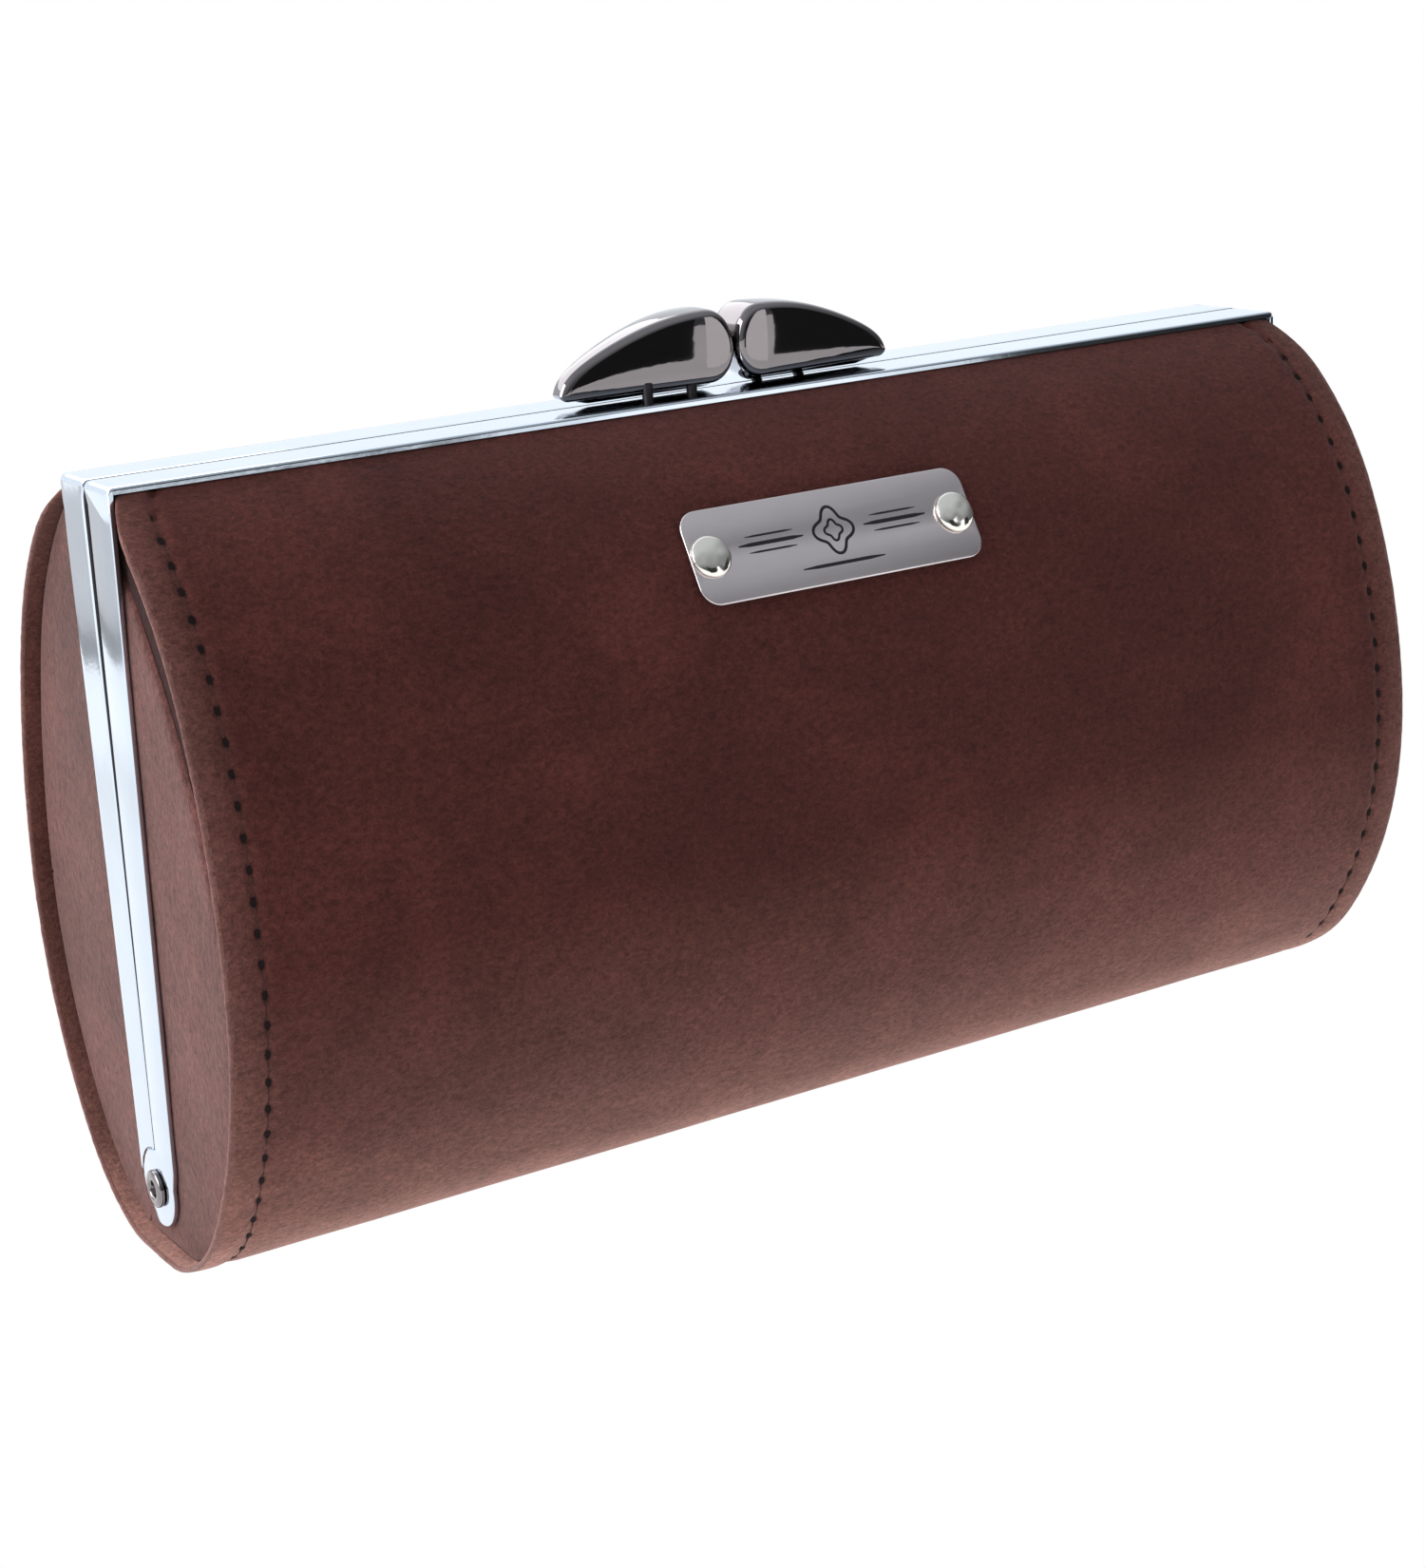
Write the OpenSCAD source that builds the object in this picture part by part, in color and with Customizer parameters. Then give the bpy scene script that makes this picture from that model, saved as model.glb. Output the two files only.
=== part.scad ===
// Suede-covered box case with a hinged metal frame and a kiss-lock clasp.
// Millimetres. +X is to the right along the case, the front faces -Y, +Z is up.
// The origin is the centre of the flat underside.

/* [Metal frame] */
// Length of the frame, outside the two arms
frame_len = 200; // [160:1:240]
// Half depth of the frame across its top bar
frame_half_top = 9.0; // [8.8:0.1:9.4]
// Half depth of the frame where the arms meet the hinge ears
frame_half_neck = 6.2; // [6:0.1:6.6]
// Sheet thickness of the frame
frame_t = 0.8; // [0.7:0.1:0.9]
// Depth of the flanges where the two frame halves meet
flange_depth = 5.2; // [4:0.1:6]
// Half width of the seam along the top bar and at the necks
seam_half = 0.15; // [0.1:0.05:0.25]
// Half width of the gap between the arms just below the top bar
arm_gap_half = 0.9; // [0.4:0.1:1]

/* [Hinge] */
// Height of the hinge axis above the underside
hinge_h = 10; // [9.5:0.1:10.5]
// Radius of the round ear on the front frame
ear_r = 5.5; // [5.4:0.1:5.8]
// Outer radius of the eyelet's barrel
eyelet_r = 1.7; // [1.5:0.1:1.9]
// Radius of the eyelet's through hole
eyelet_bore_r = 1.2; // [0.9:0.1:1.3]
// Radius of the eyelet's outer flange
eyelet_flange_r = 2.7; // [2.4:0.1:3]

/* [Case outline] */
// Radius of the shoulder below the frame
shoulder_r = 52; // [51:0.5:53]
// Radius of the belly above its widest point
belly_r = 97; // [96:0.5:98]
// Radius of the flank below the widest point
flank_r = 62.5; // [62:0.5:63]
// Radius of the rounded bottom
bottom_r = 30; // [30:0.5:31]
// How much of the rounded bottom the flat underside cuts off
base_cut = 0.8; // [0.6:0.1:1]

/* [Covering] */
// How far the suede cover stands out past each frame arm
cover_overhang = 1.3; // [1:0.1:2]
// Thickness of the suede
suede_t = 1.0; // [0.8:0.1:1]
// Thickness of the stiff shell board
board_t = 2.0; // [1.8:0.1:2]
// Thickness of the lining
lining_t = 0.8; // [0.6:0.1:0.8]
// Spacing of the stitches along each end
stitch_pitch = 4.12; // [3:0.02:5]
// Distance of the stitch row from the end of the cover
stitch_inset = 5.3; // [4:0.1:8]

/* [Clasp] */
// Length of each clasp finger
finger_len = 28.6; // [24:0.1:32]
// Height of each clasp finger
finger_h = 11; // [9:0.1:12]
// Half thickness of a finger at its round end
finger_half_t = 4.4; // [4:0.1:4.6]
// Gap between a finger and the top bar below it
finger_lift = 0.95; // [0.5:0.05:1.5]

/* [Nameplate] */
// Width of the nameplate
plate_w = 48.2; // [40:0.1:60]
// Height of the nameplate
plate_h = 14.2; // [10:0.1:15]
// Thickness of the nameplate
plate_t = 0.8; // [0.6:0.1:1.2]
// Distance between the two nameplate rivets
rivet_spacing = 41.8; // [34:0.1:42]
// Distance of the nameplate's centre from the top bar, along the cover
plate_s = 26.1; // [18:0.1:27]

/* [Inside] */
// Number of padded ring rolls
ring_rolls = 5; // [3:1:5]
// Radius of a ring roll
roll_r = 5.6; // [4:0.1:5.6]
// Spacing of the ring rolls
roll_pitch = 11.8; // [11.6:0.1:12]

/* [Hidden] */
ROLL_NAMES = [for (i = [1 : ring_rolls]) str("ring_roll_", i)];
$fn = 96;

LEFT = -1;
RIGHT = 1;
big = 150;                      // reach of the cutting blocks
skin_gap = 0.05;                // glue line between neighbouring layers

function outward(t) = [-sin(t), cos(t)];

// The half outline runs down from the top bar as four tangent arcs. Each arc turns from
// one slope to the next, and slopes are degrees below the horizontal. The slopes where
// arcs meet have short decimal sines and cosines, so neighbouring arcs meet exactly.
radii = [shoulder_r, belly_r, flank_r, bottom_r];
upper_slope = atan2(117, 44);
widest_slope = 90;
lower_slope = 180 - atan2(4, 3);
bottom_centre = [0, bottom_r - base_cut];
flank_centre = bottom_centre + (bottom_r - flank_r) * outward(lower_slope);
belly_centre = flank_centre + (flank_r - belly_r) * outward(widest_slope);
shoulder_centre = belly_centre + (belly_r - shoulder_r) * outward(upper_slope);
centres = [shoulder_centre, belly_centre, flank_centre, bottom_centre];

bar_t = 0.9;                    // thickness of the top bar's front edge
start_y = 0.3 - frame_half_top; // where the cover comes out from under the top bar
start_slope = asin((shoulder_centre[0] - start_y) / shoulder_r);
slopes = [start_slope, upper_slope, widest_slope, lower_slope, 180];
case_h = bar_t + shoulder_centre[1] + shoulder_r * cos(start_slope);

frame_x = frame_len / 2;
cover_x = frame_x + cover_overhang;
end_face_x = frame_x - frame_t - skin_gap;   // outer face of the end suede
end_suede_t = 0.8;
end_board_x = end_face_x - end_suede_t - skin_gap;
end_board_t = 1.8;
end_lining_x = end_board_x - end_board_t - skin_gap;
shell_y = arm_gap_half + 1.05;               // the shell's edges stop this far from the middle

board_in = suede_t + skin_gap;               // depths of the layers below the cover's surface
lining_in = board_in + board_t + skin_gap;
room_in = lining_in + lining_t + skin_gap;
shell_top = case_h - 1.9;
lining_top = shell_top - board_t - skin_gap;
room_top = lining_top - lining_t - skin_gap;

ear_cut_r = ear_r - 0.3;                     // room for the inner ear, hidden by the outer one
inner_ear_r = ear_cut_r - 0.5;
inner_ear_t = 0.7;
inner_ear_x = frame_x - frame_t - 0.1;       // outer face of the inner ear
neck_top = hinge_h + 9.5;
neck_low = hinge_h + 4;                      // the arms narrow to their necks down to here
running_gap = 0.05;
press_gap = 0.02;

gap_foot = neck_top + 2;                     // the gap between the arms opens above here
gap_top = case_h - 3.5;                      // it is widest here
gap_shut = case_h - 1.2;                     // and it has closed again here

suede_colour = [0.36, 0.21, 0.19];
chrome_colour = [0.80, 0.84, 0.88];
gunmetal_colour = [0.30, 0.29, 0.30];
board_colour = [0.62, 0.53, 0.42];
velvet_colour = [0.23, 0.12, 0.12];

// ---- outline geometry, in the plane of Y and Z ----

arc_lengths = [for (i = [0 : 3]) radii[i] * (slopes[i + 1] - slopes[i]) * PI / 180];

// Slope and place of the cover's surface at a distance s below the top bar
function arc_of(s, i = 0) = i == 3 || s <= arc_lengths[i] ? [i, s]
    : arc_of(s - arc_lengths[i], i + 1);
function slope_at(s) = let (a = arc_of(s)) slopes[a[0]] + a[1] / radii[a[0]] * 180 / PI;
function point_at(s) = let (a = arc_of(s)) centres[a[0]] + radii[a[0]] * outward(slope_at(s));

// A point this deep below the cover's surface, on the normal of arc i at a slope
function arc_point(i, slope, depth) = centres[i] + (radii[i] - depth) * outward(slope);

// The front half of the case, cut back by inset from the cover's surface. Each arc is a
// slice of its circle between two normals, and a core fills the space inside the slices.
// The first slice starts a little before the outline does, and the top is then cut level.
module half_outline(inset, top_z) {
    core_in = inset + 2;
    slice_in = inset + 4;
    slice_out = inset - 10;
    lead = 8;
    intersection() {
        union() {
            polygon(concat([[0, case_h + 1 - inset], [-2.2, case_h + 1 - inset]],
                [for (i = [0 : 4]) arc_point(min(i, 3), slopes[i], core_in)]));
            for (i = [0 : 3]) {
                first = i == 0 ? slopes[0] - lead : slopes[i];
                last = slopes[i + 1];
                intersection() {
                    translate(centres[i]) circle(r = radii[i] - inset, $fn = 180);
                    polygon([arc_point(i, first, slice_in), arc_point(i, first, slice_out),
                        arc_point(i, last, slice_out), arc_point(i, last, slice_in)]);
                }
            }
        }
        translate([-big, inset]) square([big, top_z - inset]);
    }
}

// The band between two depths below the cover's surface
module layer(outer, inner, outer_top, inner_top) {
    difference() {
        half_outline(outer, outer_top);
        half_outline(inner, inner_top);
    }
}

// Everything in front of the middle and above the fold that runs down and forward
// from the hinge at 45 degrees
module front_sector(mid = shell_y) {
    polygon([[-mid, case_h + 20], [-mid, hinge_h - mid], [-big, hinge_h - big],
        [-2 * big, hinge_h - big], [-2 * big, case_h + 20]]);
}

// The flexible part below the hinge, between the two folds
module fold_sector() {
    fold_gap = 0.1;
    polygon([[0, hinge_h - fold_gap], [-big, hinge_h - big - fold_gap],
        [big, hinge_h - big - fold_gap]]);
}

// Clears the neck and the ears of the hinge
module ear_clearance() {
    translate([0, hinge_h]) circle(r = ear_cut_r);
    translate([-ear_cut_r, hinge_h]) square([2 * ear_cut_r, neck_top - hinge_h]);
}

// Stands a YZ outline up and stretches it from x0 to x1
module along_x(x0, x1) {
    translate([x0, 0, 0]) rotate([90, 0, 90]) linear_extrude(x1 - x0) children();
}

// The same, at the left or the right end, between two distances from the middle
module at_end(side, inner_x, outer_x) {
    if (side == LEFT) along_x(-outer_x, -inner_x) children();
    if (side == RIGHT) along_x(inner_x, outer_x) children();
}

module back_half() {
    mirror([0, 1, 0]) children();
}

// ---- metal frame ----

// One arm's outer face without its ear
module arm_face() {
    join = 12;   // degrees above the hinge axis where the arm's edge runs into the ear
    polygon([[-seam_half, case_h], [-frame_half_top, case_h], [-frame_half_neck, neck_low],
        [-ear_r * cos(join), hinge_h + ear_r * sin(join)], [-seam_half, hinge_h],
        [-seam_half, gap_foot], [-arm_gap_half, gap_top], [-seam_half, gap_shut]]);
}

// The flange that runs down an arm where the two frame halves meet
module arm_flange() {
    foot = neck_top - 2;
    polygon([[-seam_half, case_h], [-seam_half, gap_shut], [-arm_gap_half, gap_top],
        [-seam_half, gap_foot], [-seam_half, foot], [-seam_half - frame_t, foot],
        [-seam_half - frame_t, gap_foot], [-arm_gap_half - frame_t, gap_top],
        [-seam_half - frame_t, gap_shut], [-seam_half - frame_t, case_h]]);
}

// The top bar with its downturned flange, as a front half
module top_bar() {
    along_x(-frame_x, frame_x)
        translate([-frame_half_top, case_h - bar_t])
            square([frame_half_top - seam_half, bar_t]);
    along_x(-frame_x, frame_x)
        translate([-seam_half - frame_t, case_h - flange_depth])
            square([frame_t, flange_depth]);
}

stud_r = 1.2;
stud_hole_r = 1.3;
stud_y = 2.9;
stud_xs = [7.5, 15];
stud_root = 1;                  // length of a stud inside its finger
nut_r = 1.75;
nut_t = 0.7;
nut_gap = 0.02;

// Holes through the top bar for the studs of one clasp finger
module stud_holes(side) {
    for (x = stud_xs) {
        translate([side * x, -stud_y, case_h - bar_t - 1])
            cylinder(r = stud_hole_r, h = bar_t + 2);
    }
}

module front_frame() {
    color(chrome_colour) {
        difference() {
            top_bar();
            stud_holes(LEFT);
        }
        for (side = [LEFT, RIGHT]) {
            at_end(side, frame_x - frame_t, frame_x) {
                difference() {
                    union() {
                        arm_face();
                        translate([0, hinge_h]) circle(r = ear_r);
                    }
                    translate([0, hinge_h]) circle(r = eyelet_r + running_gap);
                }
            }
            at_end(side, frame_x - flange_depth, frame_x) arm_flange();
        }
    }
}

// The tongue that closes the gap between the arms from inside
module arm_tongue() {
    lap = 0.1;   // how far the tongue reaches into the back arm's flange
    polygon([[seam_half + lap, gap_foot], [arm_gap_half + lap, gap_top],
        [lap - seam_half, gap_top], [0, gap_foot]]);
}

// The neck between the back arm and its ear, from one height to another
module inner_neck(low_z, high_z) {
    neck_y = seam_half + 0.2;
    translate([neck_y, low_z]) square([inner_ear_r - neck_y, high_z - low_z]);
}

// The back frame's ear is stepped inward, so that it lies behind the front frame's ear
module inner_ear() {
    difference() {
        union() {
            translate([0, hinge_h]) circle(r = inner_ear_r);
            inner_neck(hinge_h, neck_top);
        }
        translate([0, hinge_h]) circle(r = eyelet_r + press_gap);
    }
}

module back_frame() {
    ear_room = ear_r + 0.15;
    tongue_x = frame_x - 1.8;
    tongue_t = 0.6;
    step_low = hinge_h + ear_room + 0.6;   // the step that joins the ear to the arm
    step_h = 2.6;
    color(chrome_colour) {
        back_half() difference() {
            top_bar();
            stud_holes(RIGHT);
        }
        for (side = [LEFT, RIGHT]) {
            at_end(side, frame_x - frame_t, frame_x) {
                difference() {
                    mirror([1, 0]) arm_face();
                    translate([0, hinge_h]) circle(r = ear_room);
                }
            }
            at_end(side, frame_x - flange_depth, frame_x) mirror([1, 0]) arm_flange();
            at_end(side, tongue_x - tongue_t, tongue_x) arm_tongue();
            at_end(side, inner_ear_x - inner_ear_t, inner_ear_x) inner_ear();
            at_end(side, inner_ear_x - inner_ear_t, frame_x - frame_t / 2)
                inner_neck(step_low, step_low + step_h);
        }
    }
}

// ---- hinge ----

// A ring round the hinge axis, between two distances from the middle
module eyelet_ring(side, r, x0, x1) {
    at_end(side, x0, x1) translate([0, hinge_h]) difference() {
        circle(r = r);
        circle(r = eyelet_bore_r);
    }
}

// A hollow rivet through both ears, lying along X with its larger flange outermost
module hinge_eyelet(side) {
    flange_t = 0.9;
    tail_t = 0.6;
    tail_r = eyelet_flange_r - 0.2;
    tail_x = inner_ear_x - inner_ear_t - 0.1;
    outer_x = frame_x + running_gap;
    color(gunmetal_colour) {
        eyelet_ring(side, eyelet_r, tail_x - tail_t, outer_x + flange_t);
        eyelet_ring(side, eyelet_flange_r, outer_x, outer_x + flange_t);
        eyelet_ring(side, tail_r, tail_x - tail_t, tail_x);
    }
}

// ---- kiss-lock clasp ----

// A leaf-shaped finger: round at the middle of the case and tapered outward, flat below
module clasp_finger(side) {
    foot_z = case_h + finger_lift;
    bulb_x = finger_half_t + 0.12;
    tip_r = 1.5;
    waist_x = 12;        // the middle of the finger's long flank, which is a little slimmer
    waist_drop = 0.4;
    mid_z = foot_z + finger_h / 2;
    color(gunmetal_colour) {
        intersection() {
            hull() {
                translate([side * bulb_x, 0, mid_z])
                    scale([1, 1, finger_h / 2 / finger_half_t])
                        sphere(r = finger_half_t, $fn = 32);
                translate([side * waist_x, 0, mid_z - waist_drop])
                    scale([1, 0.72, 0.95]) sphere(r = finger_h / 2, $fn = 32);
                translate([side * (finger_len - tip_r), 0, foot_z + tip_r])
                    sphere(r = tip_r, $fn = 24);
            }
            translate([-big / 2, -big / 2, foot_z]) cube([big, big, finger_h]);
        }
        for (x = stud_xs) {
            translate([side * x, side * stud_y, case_h - bar_t - nut_t])
                cylinder(r = stud_r, h = nut_t + bar_t + finger_lift + stud_root);
        }
    }
}

// Push-on nuts under the top bar, on the studs of one finger
module clasp_nuts(side) {
    color(gunmetal_colour) for (x = stud_xs) {
        translate([side * x, side * stud_y, case_h - bar_t - nut_t])
            difference() {
                cylinder(r = nut_r, h = nut_t - nut_gap);
                translate([0, 0, -1]) cylinder(r = stud_r + press_gap, h = nut_t + 2);
            }
    }
}

// ---- shell ----

rivet_r = 1.0;
rivet_hole_r = rivet_r + 0.1;
washer_r = 2.5;
washer_t = 0.5;
washer_depth = board_in + board_t - washer_t - 0.1;
pocket_room = 0.3;              // room round a washer, in its recess in the shell

// Moves a piece onto the cover's surface at distance s, with its own +Z pointing outward
module on_cover(x, s) {
    p = point_at(s);
    translate([x, p[0], p[1]]) rotate([slope_at(s), 0, 0]) children();
}

// Holes for the nameplate's rivets, right through the suede and the shell
module rivet_holes() {
    reach = 6;
    for (side = [LEFT, RIGHT]) {
        on_cover(side * rivet_spacing / 2, plate_s)
            translate([0, 0, -reach]) cylinder(r = rivet_hole_r, h = 2 * reach);
    }
}

module shell_half() {
    along_x(-end_board_x, end_board_x) intersection() {
        layer(board_in, board_in + board_t, shell_top, shell_top - board_t);
        front_sector();
    }
}

module front_shell() {
    color(board_colour) difference() {
        shell_half();
        rivet_holes();
        for (side = [LEFT, RIGHT]) {
            on_cover(side * rivet_spacing / 2, plate_s)
                translate([0, 0, -washer_depth - board_t])
                    cylinder(r = washer_r + pocket_room, h = board_t);
        }
    }
}

module back_shell() {
    color(board_colour) back_half() shell_half();
}

// A board that closes the end of a shell half, inside the shell
module end_board(side) {
    color(board_colour) at_end(side, end_board_x - end_board_t, end_board_x) {
        difference() {
            intersection() {
                half_outline(lining_in, lining_top + skin_gap);
                front_sector();
            }
            ear_clearance();
        }
    }
}

// ---- suede ----

// One half of the cover, notched round the tops of the frame's arms
module cover_half() {
    notch_h = 3;
    difference() {
        along_x(-cover_x, cover_x) intersection() {
            layer(0, suede_t, case_h - bar_t - skin_gap, case_h);
            front_sector();
        }
        for (side = [LEFT, RIGHT]) {
            at_end(side, frame_x - frame_t - skin_gap, frame_x + skin_gap)
                translate([-frame_half_top - skin_gap, case_h - notch_h])
                    square([frame_half_top, notch_h]);
        }
    }
}

module front_suede() {
    color(suede_colour) difference() {
        cover_half();
        rivet_holes();
    }
}

module back_suede() {
    color(suede_colour) back_half() cover_half();
}

module base_suede() {
    color(suede_colour) along_x(-cover_x, cover_x) intersection() {
        both_halves() layer(0, suede_t, case_h, case_h);
        fold_sector();
    }
}

// Repeats a front half outline behind the middle
module both_halves() {
    children();
    mirror([1, 0]) children();
}

module end_suede(side) {
    color(suede_colour) at_end(side, end_face_x - end_suede_t, end_face_x) {
        difference() {
            intersection() {
                half_outline(board_in, case_h - bar_t - skin_gap);
                front_sector();
            }
            ear_clearance();
        }
    }
}

// The soft end wall below the hinge
module gusset(side) {
    color(suede_colour) at_end(side, end_face_x - end_suede_t, end_face_x) {
        difference() {
            intersection() {
                both_halves() half_outline(board_in, case_h);
                fold_sector();
            }
            translate([0, hinge_h]) circle(r = ear_cut_r);
        }
    }
}

// ---- stitching ----

thread_w = 0.5;
thread_proud = 0.2;
thread_len = stitch_pitch - 1.2;
thread_lift = 0.01;
stitch_x = cover_x - stitch_inset;
stitch_lead = 0.7;               // the first stitch's middle, in stitches below the top bar
stitched_len = 125;              // the fold below the hinge meets the cover just past here
stitch_count = floor(stitched_len / stitch_pitch);

module thread() {
    translate([-thread_w / 2, -thread_len / 2, thread_lift])
        cube([thread_w, thread_len, thread_proud]);
}

module stitching_half() {
    for (side = [LEFT, RIGHT]) {
        for (k = [0 : stitch_count - 1]) {
            on_cover(side * stitch_x, (k + stitch_lead) * stitch_pitch) thread();
        }
    }
}

module front_stitching() {
    color(velvet_colour) stitching_half();
}

module back_stitching() {
    color(velvet_colour) back_half() stitching_half();
}

// The base's threads lie on the inside of the suede, clear of the flat underside
module base_stitching() {
    color(velvet_colour) for (side = [LEFT, RIGHT]) {
        for (k = [-1 : 1]) {
            translate([side * stitch_x, k * stitch_pitch, suede_t]) thread();
        }
    }
}

// ---- lining and fittings ----

module lining_half() {
    intersection() {
        difference() {
            along_x(-end_lining_x, end_lining_x) half_outline(lining_in, lining_top);
            along_x(lining_t - end_lining_x, end_lining_x - lining_t)
                half_outline(lining_in + lining_t, lining_top - lining_t);
        }
        along_x(-end_lining_x, end_lining_x) difference() {
            front_sector();
            ear_clearance();
        }
    }
}

module front_lining() {
    color(velvet_colour) lining_half();
}

module back_lining() {
    color(velvet_colour) back_half() lining_half();
}

module base_lining() {
    color(velvet_colour) along_x(-end_lining_x, end_lining_x) intersection() {
        both_halves() layer(lining_in, lining_in + lining_t, case_h, case_h);
        fold_sector();
    }
}

bank_face_y = -21;
bank_low_z = 28;
bank_x0 = -92;
bank_x1 = -6;
bank_h = ring_rolls * roll_pitch;
roll_margin = 1;                 // the bank is this much longer than the rolls at each end
roll_gap = 0.1;
divider_t = 1.6;
divider_gap = 0.1;
divider_face_y = -10;
cross_divider_z = 58;
room_x = end_lining_x - lining_t - skin_gap;

// A block of the room's own outline in the front half, up to a flat face
module front_block(x0, x1, z0, z1, face_y) {
    along_x(x0, x1) intersection() {
        half_outline(room_in, room_top);
        front_sector();
        translate([-big, z0]) square([big + face_y, z1 - z0]);
    }
}

module ring_bank_base() {
    color(velvet_colour)
        front_block(bank_x0, bank_x1, bank_low_z, bank_low_z + bank_h, bank_face_y);
}

module ring_roll(i) {
    z = bank_low_z + (i - 0.5) * roll_pitch;
    color(velvet_colour) translate([bank_x0 + roll_margin, bank_face_y + roll_r + roll_gap, z])
        rotate([0, 90, 0]) cylinder(r = roll_r, h = bank_x1 - bank_x0 - 2 * roll_margin);
}

module centre_divider() {
    color(velvet_colour) front_block(-divider_t / 2, divider_t / 2, 0, case_h, divider_face_y);
}

module cross_divider() {
    color(velvet_colour) front_block(divider_t / 2 + divider_gap, room_x, cross_divider_z,
        cross_divider_z + divider_t, divider_face_y);
}

pocket_x = 70;
pocket_low_z = 22;
pocket_high_z = 74;
pocket_depth = 4.2;
pocket_wall = 1.0;
band_h = 4;
band_proud = 0.3;
band_gap = 0.05;

// A band of the back wall between two depths and two heights
module back_band(x, d0, d1, z0, z1) {
    wall_y = 12;   // everything this far from the middle belongs to the wall
    back_half() along_x(-x, x) intersection() {
        layer(d0, d1, room_top, room_top + 1);
        translate([-big, z0]) square([big - wall_y, z1 - z0]);
    }
}

module back_pocket() {
    color(velvet_colour) difference() {
        back_band(pocket_x, room_in, room_in + pocket_depth, pocket_low_z, pocket_high_z);
        back_band(pocket_x - pocket_wall, room_in - 1, room_in + pocket_depth - pocket_wall,
            pocket_low_z + pocket_wall, pocket_high_z + 1);
    }
}

module pocket_band() {
    color(velvet_colour) back_band(pocket_x, room_in + pocket_depth - pocket_wall - band_proud,
        room_in + pocket_depth + band_proud, pocket_high_z + band_gap, pocket_high_z + band_h);
}

// ---- nameplate ----

plate_corner_r = 3;
plate_lift = 0.05;

module nameplate() {
    w = plate_w / 2 - plate_corner_r;
    h = plate_h / 2 - plate_corner_r;
    color(gunmetal_colour) on_cover(0, plate_s) translate([0, 0, plate_lift])
        linear_extrude(plate_t) difference() {
            union() {
                square([plate_w, 2 * h], center = true);
                square([2 * w, plate_h], center = true);
                for (x = [-w, w], y = [-h, h]) translate([x, y]) circle(r = plate_corner_r);
            }
            for (side = [LEFT, RIGHT]) {
                translate([side * rivet_spacing / 2, 0]) circle(r = rivet_r + running_gap);
            }
        }
}

// Domed heads on plain shanks that end in the washers
module plate_rivets() {
    head_r = 3.1;
    head_h = 1.3;
    head_root = 0.3;     // the shank reaches this far into the head
    dome_r = (head_r * head_r + head_h * head_h) / 2 / head_h;
    face = plate_lift + plate_t + press_gap;
    color(chrome_colour) for (side = [LEFT, RIGHT]) {
        on_cover(side * rivet_spacing / 2, plate_s) {
            intersection() {
                translate([0, 0, face + head_h - dome_r]) sphere(r = dome_r);
                translate([0, 0, face]) cylinder(r = head_r, h = head_h + 1);
            }
            translate([0, 0, -washer_depth - washer_t])
                cylinder(r = rivet_r, h = washer_depth + washer_t + face + head_root);
        }
    }
}

module plate_washers() {
    color(chrome_colour) for (side = [LEFT, RIGHT]) {
        on_cover(side * rivet_spacing / 2, plate_s)
            translate([0, 0, -washer_depth - washer_t])
                difference() {
                    cylinder(r = washer_r, h = washer_t - press_gap);
                    translate([0, 0, -1]) cylinder(r = rivet_r + press_gap, h = washer_t + 2);
                }
    }
}

front_frame();
back_frame();
hinge_eyelet(LEFT);  // left_hinge_eyelet
hinge_eyelet(RIGHT);  // right_hinge_eyelet
clasp_finger(LEFT);  // front_clasp_finger
clasp_finger(RIGHT);  // back_clasp_finger
clasp_nuts(LEFT);  // front_clasp_nuts
clasp_nuts(RIGHT);  // back_clasp_nuts
front_shell();
back_shell();
end_board(LEFT);  // front_left_end_board
end_board(RIGHT);  // front_right_end_board
back_half() end_board(LEFT);  // back_left_end_board
back_half() end_board(RIGHT);  // back_right_end_board
front_suede();
back_suede();
base_suede();
end_suede(LEFT);  // front_left_end_suede
end_suede(RIGHT);  // front_right_end_suede
back_half() end_suede(LEFT);  // back_left_end_suede
back_half() end_suede(RIGHT);  // back_right_end_suede
gusset(LEFT);  // left_gusset
gusset(RIGHT);  // right_gusset
front_stitching();
back_stitching();
base_stitching();
front_lining();
back_lining();
base_lining();
ring_bank_base();
centre_divider();
cross_divider();
back_pocket();
pocket_band();
nameplate();
plate_rivets();
plate_washers();
for (i = [1 : ring_rolls]) {
    ring_roll(i);
}
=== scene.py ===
"""Looks for a suede-covered box case with a hinged metal frame and a kiss-lock clasp.

Lengths below are in millimetres unless a name says otherwise, and turn into metres when a
mesh is made. The frame is the CAD's: +X along the case, the front faces -Y, +Z is up.
"""
import math

import bmesh
import bpy
import numpy as np
from mathutils import Matrix, Vector, noise


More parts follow.
